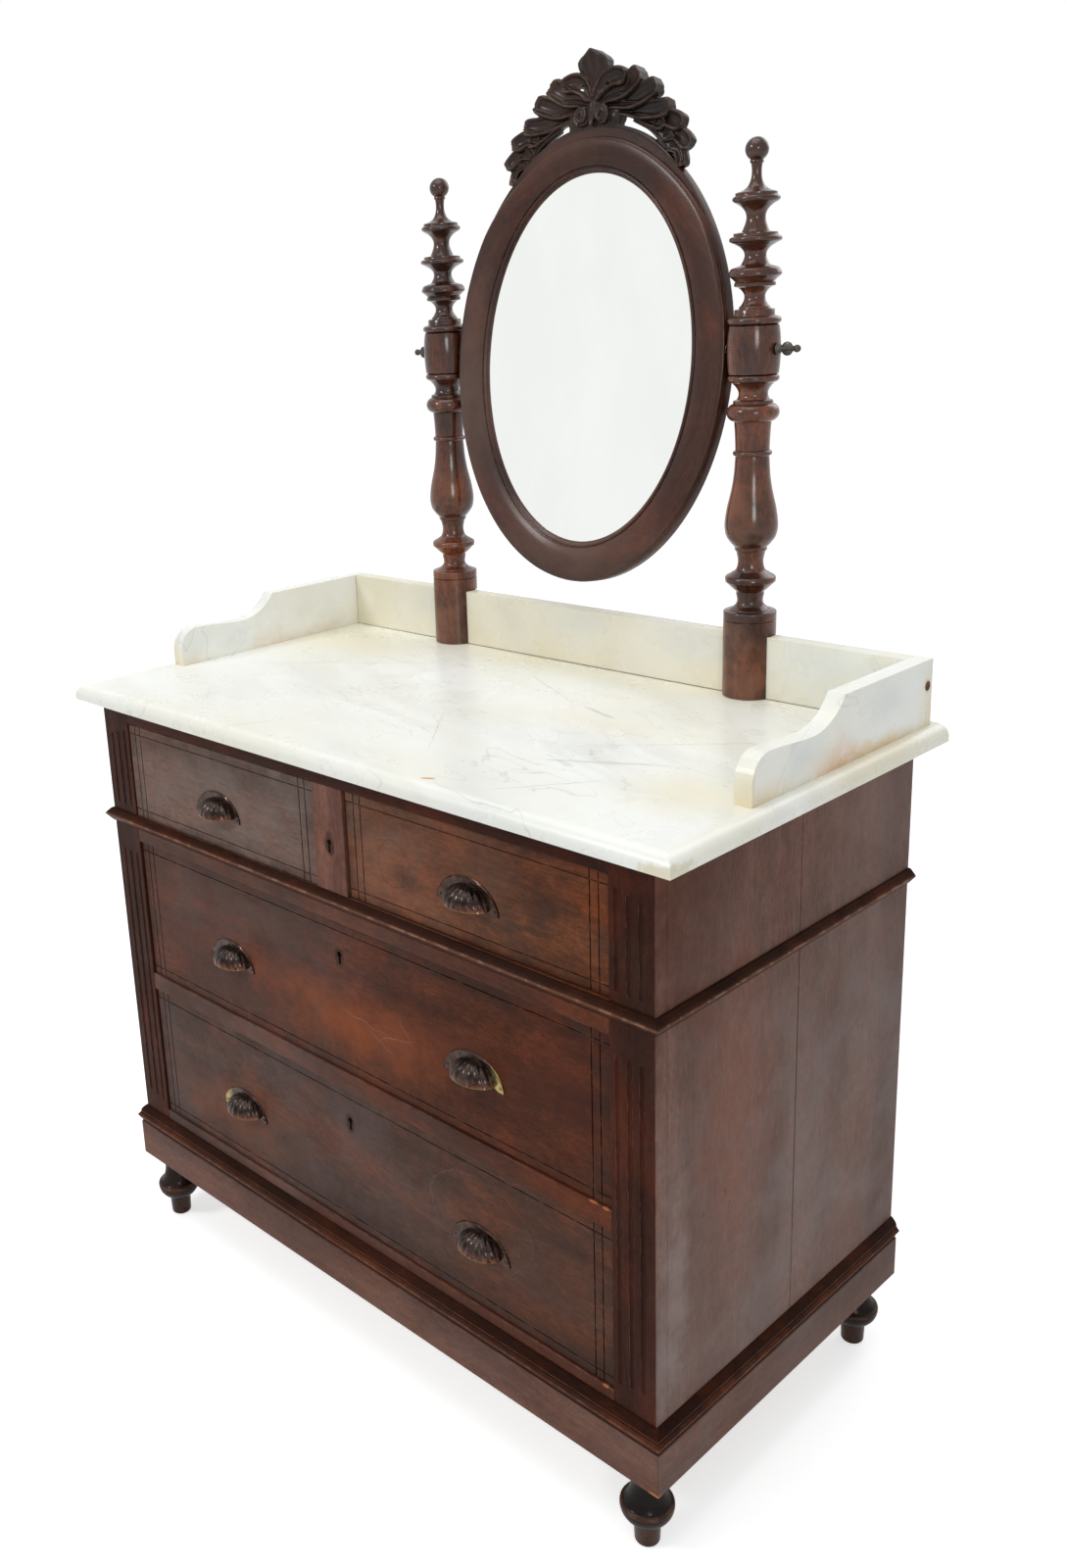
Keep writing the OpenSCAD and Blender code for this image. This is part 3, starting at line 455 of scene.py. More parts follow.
@dataclass(frozen=True)
class Timber:
    """A wood finish: growth figure, fibres, pores, polish haze with painted sheen, dust with painted shade in
    corners and worn edges.
    """

    name: str
    dark: Colour
    light: Colour
    bare: Colour
    # A greyish veil over the figure: partly a haze in the polish, partly painted sheen of bright
    # surroundings.
    bloom: Colour = srgb(126, 112, 106)
    bloom_share: float = 0.2
    bloom_fade: Fade | None = None
    bloom_even: float = 0.35
    glow: Colour = srgb(128, 64, 32)
    glow_share: float = 0.3
    smudge: Colour = srgb(54, 38, 30)
    smudge_share: float = 0.3
    roughness: float = 0.36
    specular: float = 0.055
    coat: float = 0.02
    coat_roughness: float = 0.2
    # Darkening of hollows found by occlusion, with its reach in millimetres: dust together with painted
    # shade.
    dirt_and_shade: float = 0.75
    dirt_and_shade_reach: float = 13.0
    wear: float = 0.35
    figure: float = 16.0
    contrast: float = 0.5
    pore_depth: float = 0.00010
    # Thin raised parts lightened: wear together with a painted highlight.
    ridge_wear_and_highlight: float = 0.0
    marks: tuple[Mark, ...] = ()
    border: Border | None = None
    flank: "Timber | None" = None
    oval_centre: Point3 = (0.0, 0.0, 0.0)
    oval_radius: float = 0.24

    def material(self, grain: Grain, variant: int = 0) -> bpy.types.Material:
        """The finish for one direction of the fibres, made once for each variant.

        Args:
            grain: Which way the fibres run.
            variant: Which log the piece is cut from.

        Returns:
            The material.
        """
        key = f"{self.name}_{grain.value}_{variant}"
        return bpy.data.materials.get(key) or self._make(key, grain, variant)

    def _grain_place(self, web: NodeWeb, grain: Grain, variant: int) -> tuple[Socket, Socket]:
        """Coordinates with X along the fibres, and how far the surface faces along them.

        Args:
            web: The material's nodes.
            grain: Which way the fibres run.
            variant: Which log the piece is cut from.

        Returns:
            The coordinates and the share of end grain.
        """
        source = web.node("TexCoord")
        centred = web.stretched(source.outputs["Object"], (1, 1, 1), tuple(-c for c in self.oval_centre))
        split = web.parts(centred)
        facing = web.parts(source.outputs["Normal"])
        if grain is Grain.ROUND_OVAL:
            angle = web.math("ARCTAN2", split[2], split[0])
            squares = web.math("ADD", web.math("POWER", split[0], 2.0), web.math("POWER", split[2], 2.0))
            axes = (web.times(angle, self.oval_radius), web.math("SQRT", squares), split[1])
            end = web.times(facing[0], 0.0)
        else:
            order = {Grain.ALONG_X: (0, 1, 2), Grain.ALONG_Y: (1, 2, 0), Grain.ALONG_Z: (2, 0, 1)}[grain]
            axes = tuple(split[i] for i in order)
            end = web.ramp(web.math("ABSOLUTE", facing[order[0]]), 0.75, 0.95)
        joined = web.node("CombineXYZ", dict(enumerate(axes))).outputs[0]
        return web.stretched(joined, (1, 1, 1), (0.37 * variant, 1.91 * variant, 2.73 * variant)), end

    def _figured(self, web: NodeWeb, place: Socket, end: Socket) -> tuple[Socket, Socket, Socket]:
        """Growth figure and fibres before any dirt or wear.

        Args:
            web: The material's nodes.
            place: Coordinates along the grain.
            end: Share of end grain.

        Returns:
            The colour, the fibres and the pores.
        """
        waved = web.swayed(place, 3.0, 0.05)
        bands = web.noise(web.stretched(waved, (1.1, self.figure, self.figure)), 1.0, 4.0, 0.55, 0.3)
        fibres = web.noise(web.stretched(waved, (20, 420, 420)), 1.0, 2.0, 0.6)
        pores = web.ramp(web.noise(web.stretched(waved, (60, 1100, 1100)), 1.0, 1.0), 0.6, 0.72)
        ticks = web.ramp(web.noise(web.stretched(waved, (30, 230, 230), (5, 3, 1)), 1.0, 2.0), 0.71, 0.75)
        clouds = web.noise(web.stretched(place, (7, 13, 13)), 1.0, 4.0, 0.6)
        smoke = web.noise(web.stretched(place, (9, 19, 19), (7, 1, 4)), 1.0, 5.0, 0.65, 0.4)
        mottle = web.noise(web.stretched(place, (80, 170, 170)), 1.0, 4.0, 0.65)
        speckle = web.noise(place, 620.0, 2.0, 0.7)
        spread = self.contrast
        base = web.mix(web.ramp(bands, 0.3, 0.7), self.dark, self.light)
        base = web.mix(web.ramp(clouds, 0.46, 0.68, 0.0, self.glow_share), base, self.glow)
        base = web.mix(web.ramp(smoke, 0.5, 0.7, 0.0, self.smudge_share), base, self.smudge)
        tone = web.times(
            web.ramp(fibres, 0.25, 0.75, 1 - 0.24 * spread, 1 + 0.24 * spread),
            web.ramp(speckle, 0.28, 0.72, 1 - 0.4 * spread, 1 + 0.4 * spread),
            web.ramp(mottle, 0.3, 0.7, 1 - 0.36 * spread, 1 + 0.3 * spread),
            web.ramp(pores, 0.0, 1.0, 1.0, 1 - 0.5 * spread),
            web.ramp(ticks, 0.0, 1.0, 1.0, 1 - 0.9 * spread),
            web.ramp(end, 0.0, 1.0, 1.0, 0.6),
        )
        return web.scaled(base, tone), fibres, pores

    def _coloured(
        self, web: NodeWeb, place: Socket, end: Socket, spot: Socket
    ) -> tuple[Socket, Socket, Socket, Socket]:
        """Figure, polish haze with painted sheen, and marks together.

        Args:
            web: The material's nodes.
            place: Coordinates along the grain.
            end: Share of end grain.
            spot: Coordinates on the piece.

        Returns:
            The colour, the fibres, the pores and the share of polish haze and painted sheen.
        """
        base, fibres, pores = self._figured(web, place, end)
        # Painted sheen with polish haze: greyish clouds over the figure, faded across the piece where a fade
        # is given.
        bloom_and_sheen_mask = web.ramp(web.noise(place, 7.0, 5.0, 0.65, 0.4), 0.38, 0.7, self.bloom_even, 1.0)
        bloom_and_sheen_mask = web.times(bloom_and_sheen_mask, self.bloom_share)
        if self.bloom_fade:
            bloom_and_sheen_mask = web.times(bloom_and_sheen_mask, web.faded(spot, self.bloom_fade))
        base = web.mix(bloom_and_sheen_mask, base, self.bloom)
        if self.border:
            base = web.bordered(base, spot, self.border)
        for mark in self.marks:
            base = web.marked(base, spot, mark)
        return base, fibres, pores, bloom_and_sheen_mask

    def _make(self, key: str, grain: Grain, variant: int) -> bpy.types.Material:
        """Build the node tree.

        Args:
            key: Name of the material.
            grain: Which way the fibres run.
            variant: Which log the piece is cut from.

        Returns:
            The material.
        """
        web = NodeWeb(key)
        place, end = self._grain_place(web, grain, variant)
        spot = web.spot()
        base, fibres, pores, bloom_and_sheen_mask = self._coloured(web, place, end, spot)
        # The outward side of a stile takes the side panel's finish, with its painted sheen.
        if self.flank:
            facing = web.math("ABSOLUTE", web.parts(web.node("TexCoord").outputs["Normal"])[0])
            outer = web.math("ABSOLUTE", web.parts(spot)[0])
            sideways = web.times(web.ramp(facing, 0.5, 0.8), web.ramp(outer, 0.498, 0.4995))
            base = web.mix(sideways, base, self.flank._coloured(web, place, end, spot)[0])
        chipping = web.ramp(web.noise(place, 60.0, 4.0, 0.65), 0.46, 0.66)
        worn = web.times(web.edge(1.5 * MM), chipping, self.wear)
        # Thin raised parts take the bare colour: wear together with a painted highlight.
        if self.ridge_wear_and_highlight:
            high = web.ramp(web.ridge(6 * MM), 0.25, 0.8, 0.0, self.ridge_wear_and_highlight)
            worn = web.math("MAXIMUM", worn, web.times(high, web.ramp(chipping, 0.0, 0.5, 0.45, 1.0)))
        rubbed = web.times(web.painted("rubbed"), web.ramp(chipping, 0.0, 0.6, 0.4, 1.0))
        base = web.mix(web.math("MAXIMUM", worn, rubbed), base, self.bare)
        # Painted shade with dust: darker in hollows and where shade is painted on the piece.
        shade_and_soot = tuple(c * 0.2 for c in self.dark)
        hollow_darkening = web.times(web.ramp(web.crevice(self.dirt_and_shade_reach * MM), 0.3, 0.85), self.dirt_and_shade)
        hollow_darkening = web.math("MAXIMUM", hollow_darkening, web.painted("soiled"))
        base = web.mix(hollow_darkening, base, shade_and_soot)
        clouds = web.noise(place, 12.0, 4.0, 0.6)
        dull = web.ramp(clouds, 0.3, 0.75, self.roughness - 0.05, self.roughness + 0.12)
        dull = web.math("ADD", dull, web.times(web.math("MAXIMUM", hollow_darkening, bloom_and_sheen_mask), 0.25))
        relief = web.math("SUBTRACT", web.times(fibres, 0.25), pores)
        normal = web.bump(relief, self.pore_depth)
        normal = web.bump(web.noise(web.stretched(place, (6, 30, 30)), 1.0, 2.0), 0.0004, 0.3, normal)
        return web.surface(
            Base_Color=base, Roughness=dull, Normal=normal, IOR=1.48, Specular_IOR_Level=self.specular,
            Coat_Weight=self.coat, Coat_Roughness=self.coat_roughness, Coat_IOR=1.5,
        )


@dataclass(frozen=True)
class Marble:
    """White veined marble, polished long ago, with ochre stains and painted shade in its corners, and painted
    shade on faces that look forward.
    """

    name: str = "white_marble"
    clear: Colour = srgb(243, 244, 239)
    cloud: Colour = srgb(236, 236, 226)
    vein: Colour = srgb(150, 152, 146)
    stain: Colour = srgb(226, 214, 170)
    dirt_and_shade: Colour = srgb(104, 86, 64)
    shade: float = 0.22
    stained: float = 0.3
    marks: tuple[Mark, ...] = ()

    def material(self, turn: float = 0.35, shift: float = 0.0) -> bpy.types.Material:
        """The finish, with the veins running at an angle.

        Args:
            turn: Angle of the veins about the vertical, in radians.
            shift: Distance into the block that the piece is cut from.

        Returns:
            The material.
        """
        web = NodeWeb(f"{self.name}_{int(shift * 100)}")
        spot = web.spot()
        sockets = {"Vector": spot, "Location": (shift, shift * 2.3, shift), "Rotation": (0, 0, turn)}
        place = web.node("Mapping", sockets).outputs[0]
        bent = web.swayed(web.swayed(place, 2.2, 0.14, 1.0), 14.0, 0.005, 1.0)
        veined = web.stretched(bent, (1.1, 3.6, 2.0))
        patches = web.ramp(web.noise(place, 2.6, 3.0), 0.44, 0.64)
        broad = web.times(self._line(web, veined, 1.9, 0.035), patches)
        fine = web.times(self._line(web, web.stretched(bent, (3, 9, 6)), 2.2, 0.011), patches)
        soft = web.swayed(place, 3.0, 0.07, 1.0)
        streaks = web.noise(web.stretched(soft, (3, 8, 7), (3, 5, 2)), 1.0, 3.0, 0.5)
        specks = web.ramp(web.noise(web.stretched(place, (30, 70, 50)), 1.0, 3.0, 0.6), 0.68, 0.78)
        base = web.mix(web.ramp(web.noise(veined, 2.4, 4.0, 0.55), 0.28, 0.76), self.clear, self.cloud)
        base = web.mix(web.ramp(streaks, 0.48, 0.78, 0.0, 0.2), base, self.vein)
        for lines, share in ((broad, 0.14), (fine, 0.34), (specks, 0.14)):
            base = web.mix(web.times(lines, share), base, self.vein)
        yellow = web.noise(web.stretched(soft, (2.6, 6, 5)), 1.0, 4.0, 0.5)
        base = web.mix(web.ramp(yellow, 0.40, 0.80, 0.0, self.stained), base, self.stain)
        # Painted shade: faces that look forward are greyer.
        front = web.parts(web.node("TexCoord").outputs["Normal"])[1]
        base = web.mix(web.ramp(front, -0.35, -0.8, 0.0, self.shade), base, srgb(180, 181, 178))
        # Ochre stain together with painted shade in corners, in clouds.
        corner_stain_and_shade = web.ramp(web.crevice(55 * MM), 0.2, 0.65, 0.0, 0.42)
        corner_stain_and_shade = web.times(corner_stain_and_shade, web.ramp(web.noise(place, 11.0, 4.0, 0.6), 0.34, 0.66))
        base = web.mix(corner_stain_and_shade, base, self.stain)
        for mark in self.marks:
            base = web.marked(base, spot, mark)
        # Narrow corners and joints darker: dust together with painted shade.
        base = web.mix(web.ramp(web.crevice(2.2 * MM), 0.45, 0.9, 0.0, 0.7), base, self.dirt_and_shade)
        dull = web.ramp(web.noise(place, 14.0, 4.0, 0.6), 0.3, 0.7, 0.24, 0.38)
        normal = web.bump(web.noise(place, 60.0, 4.0, 0.6), 0.0002, 0.4)
        return web.surface(
            Base_Color=base, Roughness=dull, Normal=normal, IOR=1.5,
            Subsurface_Weight=0.1, Subsurface_Radius=(1.0, 0.9, 0.75), Subsurface_Scale=4 * MM,
        )

    @staticmethod
    def _line(web: NodeWeb, place: Socket, scale: float, width: float) -> Socket:
        """Thin lines where a cloud crosses its middle value.

        Args:
            web: The material's nodes.
            place: Coordinates.
            scale: Lines per metre.
            width: Width of a line as a share of the cloud's range.

        Returns:
            1 on a line and 0 away from it.
        """
        cloud = web.noise(place, scale, 2.5, 0.5, 0.4)
        return web.ramp(web.math("ABSOLUTE", web.math("SUBTRACT", cloud, 0.5)), width, 0.0)


@dataclass(frozen=True)
class Metal:
    """A cast or drawn metal with patina in its hollows and bright rubbed edges."""

    name: str
    patina: Colour
    rubbed: Colour
    bright: Colour
    warm: Colour = srgb(110, 84, 66)
    metallic: float = 0.85
    roughness: float = 0.36
    shine: float = 0.5

    def material(self) -> bpy.types.Material:
        """The finish, made once."""
        return bpy.data.materials.get(self.name) or self._make()

    def _make(self) -> bpy.types.Material:
        """Build the node tree.

        Returns:
            The material.
        """
        web = NodeWeb(self.name)
        place = web.spot()
        blotches = web.ramp(web.noise(place, 90.0, 4.0, 0.6), 0.35, 0.7)
        base = web.mix(blotches, self.patina, self.rubbed)
        edges = web.times(web.edge(1.0 * MM), web.ramp(web.noise(place, 60.0, 3.0), 0.35, 0.6), self.shine)
        # A painted reddish highlight, as strong as the share painted on the piece's points.
        warm = web.times(web.painted("warm"), web.ramp(web.noise(place, 240.0, 3.0), 0.3, 0.6))
        base = web.mix(warm, base, self.warm)
        wear = web.ramp(web.noise(place, 120.0, 4.0, 0.6), 0.3, 0.6, 0.5, 1.0)
        bare = web.math("MAXIMUM", edges, web.times(web.painted("rubbed"), wear))
        base = web.mix(bare, base, self.bright)
        hollow_darkening = web.ramp(web.crevice(5 * MM), 0.3, 0.9, 0.0, 0.8)
        base = web.mix(hollow_darkening, base, tuple(c * 0.3 for c in self.patina))
        dull = web.ramp(web.noise(place, 150.0, 3.0), 0.3, 0.7, self.roughness - 0.08, self.roughness + 0.12)
        normal = web.bump(web.noise(place, 400.0, 3.0), 0.0001, 0.5)
        return web.surface(Base_Color=base, Roughness=dull, Normal=normal, Metallic=self.metallic)


@dataclass(frozen=True)
class SilveredGlass:
    """Old mirror glass: silver behind, faint haze and a few lost spots near the rim."""

    name: str = "silvered_glass"
    silver: Colour = srgb(244, 246, 243)
    loss: Colour = srgb(120, 118, 108)

    def material(self) -> bpy.types.Material:
        """Build the node tree.

        Returns:
            The material.
        """
        web = NodeWeb(self.name)
        place = web.spot()
        haze = web.noise(web.stretched(place, (6, 6, 3)), 1.0, 4.0, 0.6, 0.5)
        spots = web.ramp(web.noise(place, 130.0, 2.0), 0.7, 0.76)
        spots = web.times(spots, web.ramp(web.crevice(25 * MM), 0.1, 0.4))
        base = web.mix(web.ramp(haze, 0.35, 0.7, 0.0, 0.05), self.silver, self.loss)
        base = web.mix(web.times(spots, 0.8), base, self.loss)
        dull = web.math("ADD", web.ramp(haze, 0.4, 0.8, 0.015, 0.05), web.times(spots, 0.4))
        return web.surface(Base_Color=base, Roughness=dull, Metallic=1.0)


MAHOGANY = Timber("mahogany", dark=srgb(58, 32, 24), light=srgb(94, 56, 43), bare=srgb(172, 128, 104))
# The sides are lighter and greyer than the front: painted sheen of bright surroundings, most of it low and
# towards the back. The pale grey patches are painted sheen too; the dark lines are the board joint and two
# nicks.
SIDE_WOOD = replace(
    MAHOGANY, name="side_mahogany", dark=srgb(86, 55, 43), light=srgb(124, 90, 76), bloom=srgb(136, 125, 122),
    bloom_share=0.62, bloom_fade=Fade((0.5, 0.05, 0.35), (0.5, -0.2, 0.92)), glow=srgb(128, 76, 56),
    glow_share=0.25, smudge_share=0.25, contrast=0.5, wear=0.12, figure=9.0, marks=(
        patch((0.5, -0.32, 0.79), (0.3, 0.36, 0.24), srgb(78, 41, 28), 1.0),
        patch((0.5, -0.13, 0.52), (0.3, 0.10, 0.30), srgb(128, 78, 58), 0.5),
        patch((0.5, -0.235, 0.34), (0.3, 0.04, 0.22), srgb(160, 148, 144), 0.45, ragged=1.0),
        patch((0.5, 0.14, 0.80), (0.3, 0.16, 0.12), srgb(128, 104, 98), 0.5),
        Mark((0.5, 0.0013, 0.5), (0.3, 0.0012, 0.5), srgb(24, 14, 12), 0.8, ragged=0.1),
        Mark((0.5, -0.1402, 0.428), (0.004, 0.0009, 0.006), srgb(20, 12, 10), 0.8, (0.2, 0, 0)),
        Mark((0.5, -0.1809, 0.418), (0.004, 0.0009, 0.004), srgb(20, 12, 10), 0.8),
    ),
)
# The stiles' flutes are darkened as painted shade with dust, and their outward sides take the side finish
# with its painted sheen.
STILE_WOOD = replace(
    MAHOGANY, name="stile_mahogany", dark=srgb(36, 16, 10), light=srgb(62, 30, 20), bloom_share=0.04,
    specular=0.04, coat=0.0, glow=srgb(104, 46, 24), glow_share=0.3, dirt_and_shade=1.0, dirt_and_shade_reach=4.0,
    flank=SIDE_WOOD,
)
PLINTH_WOOD = replace(
    MAHOGANY, name="plinth_mahogany", dark=srgb(76, 46, 36), light=srgb(112, 76, 62), bloom_share=0.22,
    wear=0.5, glow=srgb(132, 78, 52),
    marks=(Mark((0.505, -0.2754, 0.105), (0.012, 0.012, 0.005), srgb(196, 118, 62), 0.85),),
)
# Painted sheen on the rails, fading from the left end towards the right.
RAIL_WOOD = replace(
    MAHOGANY, name="rail_wood", dark=srgb(58, 30, 20), light=srgb(90, 51, 36), bare=srgb(178, 132, 110),
    bloom_share=0.3, bloom_fade=Fade((-0.3, 0, 0.6), (0.45, 0, 0.6)), wear=0.6,
)
MUNTIN_WOOD = replace(
    RAIL_WOOD, name="muntin_wood", dark=srgb(88, 52, 42), light=srgb(124, 84, 70), bloom_share=0.12,
    bloom_fade=None, wear=0.4,
)
MOULD_WOOD = replace(
    MAHOGANY, name="moulding_wood", dark=srgb(46, 22, 13), light=srgb(78, 43, 29), bare=srgb(166, 124, 102),
    dirt_and_shade=0.85, bloom_share=0.03, wear=0.1, specular=0.03, coat=0.0, smudge_share=0.2,
)
# Turned wood: deep painted shade with dust in the coves.
TURNED_WOOD = replace(
    MAHOGANY, name="turned_mahogany", dark=srgb(42, 17, 9), light=srgb(98, 52, 31), bloom_share=0.03,
    coat=0.75, coat_roughness=0.16, roughness=0.36, specular=0.05, wear=0.4, dirt_and_shade=0.95, dirt_and_shade_reach=24.0,
    contrast=1.0, glow=srgb(146, 76, 40), glow_share=0.5,
)
FOOT_WOOD = replace(
    TURNED_WOOD, name="foot_mahogany", dark=srgb(16, 9, 7), light=srgb(34, 21, 16), bare=srgb(110, 76, 60),
    coat=0.15, specular=0.05, glow=srgb(84, 50, 38), contrast=0.5,
)
RING_WOOD = replace(
    MAHOGANY, name="oval_mahogany", dark=srgb(36, 16, 10), light=srgb(68, 36, 25), bloom_share=0.02,
    coat=0.45, coat_roughness=0.25, roughness=0.34, specular=0.02, glow=srgb(108, 56, 30), glow_share=0.3,
    smudge_share=0.2, marks=(
        # Painted sheen on the left and the bottom of the ring, and a painted highlight at its upper left.
        patch((-0.22, 0.25, 1.26), (0.14, 0.2, 0.30), srgb(104, 82, 74), 0.6, ragged=0.4),
        patch((0.0, 0.22, 1.06), (0.26, 0.2, 0.10), srgb(104, 80, 70), 0.6, ragged=0.4),
        patch((-0.10, 0.29, 1.60), (0.16, 0.2, 0.09), srgb(112, 72, 54), 0.45, ragged=0.5),
    ),
)
# The carving: painted shade with dust in its hollows, and thin raised parts lightened as wear and painted
# highlight.
CARVED = Timber(
    "carved_wood", dark=srgb(24, 15, 12), light=srgb(52, 36, 29), bare=srgb(130, 104, 90),
    bloom=srgb(92, 86, 86), bloom_share=0.08, glow=srgb(96, 58, 38), glow_share=0.35, roughness=0.4,
    wear=0.12, dirt_and_shade=1.0, dirt_and_shade_reach=12.0, ridge_wear_and_highlight=0.5, coat=0.3, coat_roughness=0.24, specular=0.02,
)
PINE = Timber(
    "old_pine", dark=srgb(138, 100, 64), light=srgb(186, 148, 102), bare=srgb(205, 172, 126), bloom_share=0.0,
    glow=srgb(160, 110, 62), roughness=0.68, coat=0.0, dirt_and_shade=0.5, wear=0.2, pore_depth=0.00006, contrast=0.4,
)
PULL_BRASS = Metal(
    "bronzed_brass", patina=srgb(34, 25, 23), rubbed=srgb(66, 54, 48), bright=srgb(168, 150, 96),
    roughness=0.22, shine=0.1, warm=srgb(120, 72, 50),
)
IRON = Metal(
    "dark_iron", patina=srgb(58, 54, 52), rubbed=srgb(88, 82, 76), bright=srgb(130, 124, 112), roughness=0.46
)
LOCK_IRON = Metal(
    "lock_iron", patina=srgb(80, 74, 64), rubbed=srgb(112, 104, 90), bright=srgb(150, 142, 122), roughness=0.5
)


# ------------ mesh helpers


def mesh_object(
    name: str, points: Iterable[Sequence[float]], faces: Iterable[Sequence[int]], smooth: bool = True,
) -> bpy.types.Object:
    """Make an object from points and faces.

    Args:
        name: Name of the piece.
        points: Places of the points, in metres.
        faces: Numbers of each face's points.
        smooth: Whether the shading runs smoothly over the faces.

    Returns:
        The object, in the scene.
    """
    mesh = bpy.data.meshes.new(name)
    mesh.from_pydata([tuple(p) for p in points], [], [tuple(f) for f in faces])
    mesh.validate()
    work = bmesh.new()
    work.from_mesh(mesh)
    bmesh.ops.remove_doubles(work, verts=work.verts, dist=1e-6)
    bmesh.ops.recalc_face_normals(work, faces=work.faces)
    work.to_mesh(mesh)
    work.free()
    mesh.polygons.foreach_set("use_smooth", [smooth] * len(mesh.polygons))
    made = bpy.data.objects.new(name, mesh)
    bpy.context.scene.collection.objects.link(made)
    return made


def crease(piece: bpy.types.Object, degrees: float = 38.0) -> None:
    """Keep edges sharper than an angle crisp under smooth shading."""
    piece.data.set_sharp_from_angle(angle=math.radians(degrees))


def bake_modifiers(piece: bpy.types.Object) -> None:
    """Turn a piece's modifiers into its own mesh."""
    bpy.context.view_layer.update()
    solid = bpy.data.meshes.new_from_object(piece.evaluated_get(bpy.context.evaluated_depsgraph_get()))
    piece.modifiers.clear()
    piece.data = solid


def combine(piece: bpy.types.Object, others: Sequence[bpy.types.Object], operation: str) -> None:
    """Cut other solids out of a piece, or unite it with them, and delete the others.

    Args:
        piece: The piece that is kept.
        others: The other solids.
        operation: DIFFERENCE or UNION.
    """
    for other in others:
        step = piece.modifiers.new("combine", "BOOLEAN")
        step.operation = operation
        step.object = other
        step.solver = "EXACT"
    bake_modifiers(piece)
    for other in others:
        bpy.data.objects.remove(other)


def paint(piece: bpy.types.Object, name: str, share: Callable[[Vector], float]) -> None:
    """Store a value between 0 and 1 on each point of a piece.

    Args:
        piece: The piece.
        name: Name that the finish reads it by.
        share: The value at a place, in metres.
    """
    layer = piece.data.attributes.new(name, "FLOAT", "POINT")
    layer.data.foreach_set("value", [share(v.co) for v in piece.data.vertices])


def lathe(name: str, outline: Sequence[Point2], centre: Vector, steps: int = 96) -> bpy.types.Object:
    """Turn an outline about an upright axis.

    Args:
        name: Name of the piece.
        outline: Radius and height of each point from the bottom up, in millimetres.
        centre: Foot of the axis, in metres.
        steps: Points round the axis.

    Returns:
        The turned piece.
    """
    points = [
        centre + Vector((r * math.cos(a), r * math.sin(a), z)) * MM
        for r, z in outline for a in (2 * math.pi * i / steps for i in range(steps))
    ]
    rows = len(outline)
    faces = [
        (j * steps + i, j * steps + (i + 1) % steps, (j + 1) * steps + (i + 1) % steps, (j + 1) * steps + i)
        for j in range(rows - 1) for i in range(steps)
    ]
    faces += [tuple(range(steps))[::-1], tuple(range((rows - 1) * steps, rows * steps))]
    return mesh_object(name, points, faces)


def tube(name: str, rings: Sequence[Sequence[Vector]]) -> bpy.types.Object:
    """Join closed rings of points, equal in number, into one solid with flat ends.

    Args:
        name: Name of the piece.
        rings: The rings, in metres.

    Returns:
        The piece.
    """
    size = len(rings[0])
    faces = [
        (i * size + j, i * size + (j + 1) % size, (i + 1) * size + (j + 1) % size, (i + 1) * size + j)
        for i in range(len(rings) - 1) for j in range(size)
    ]
    last = (len(rings) - 1) * size
    faces += [tuple(range(size))[::-1], tuple(range(last, last + size))]
    return mesh_object(name, [p for ring in rings for p in ring], faces)


def shell_faces(across: int, up: int) -> list[tuple[int, ...]]:
    """Faces of two like sheets of points, one after the other, joined along their first and last columns.

    Args:
        across: Steps along each sheet.
        up: Steps from its first column of points to its last.

    Returns:
        The point numbers of each face.
    """
    row, sheet = up + 1, (across + 1) * (up + 1)
    spots = [i * row + j for i in range(across) for j in range(up)]
    faces = [
        (base + s, base + s + row, base + s + row + 1, base + s + 1) for base in (0, sheet) for s in spots
    ]
    edges = [i * row + j for j in (0, up) for i in range(across)]
    return faces + [(s, s + row, sheet + s + row, sheet + s) for s in edges]


def joined(name: str, parts: Iterable[bpy.types.Object]) -> bpy.types.Object:
    """Put the meshes of several objects into one piece and delete the objects.

    Args:
        name: Name of the piece.
        parts: The objects.

    Returns:
        The piece, in the scene.
    """
    work = bmesh.new()
    for part in parts:
        work.from_mesh(part.data)
        bpy.data.objects.remove(part)
    mesh = bpy.data.meshes.new(name)
    work.to_mesh(mesh)
    work.free()
    mesh.polygons.foreach_set("use_smooth", [True] * len(mesh.polygons))
    piece = bpy.data.objects.new(name, mesh)
    bpy.context.scene.collection.objects.link(piece)
    return piece


def cover(mesh: bpy.types.Mesh, material: bpy.types.Material) -> None:
    """Give every face of a mesh one material."""
    mesh.materials.clear()
    mesh.materials.append(material)
    mesh.polygons.foreach_set("material_index", [0] * len(mesh.polygons))


def box_object(name: str, low: Sequence[float], high: Sequence[float]) -> bpy.types.Object:
    """A plain block between two corners, for cutting."""
    points = [(x, y, z) for x in (low[0], high[0]) for y in (low[1], high[1]) for z in (low[2], high[2])]
    faces = [(0, 1, 3, 2), (4, 6, 7, 5), (0, 4, 5, 1), (2, 3, 7, 6), (0, 2, 6, 4), (1, 5, 7, 3)]
    return mesh_object(name, points, faces, smooth=False)


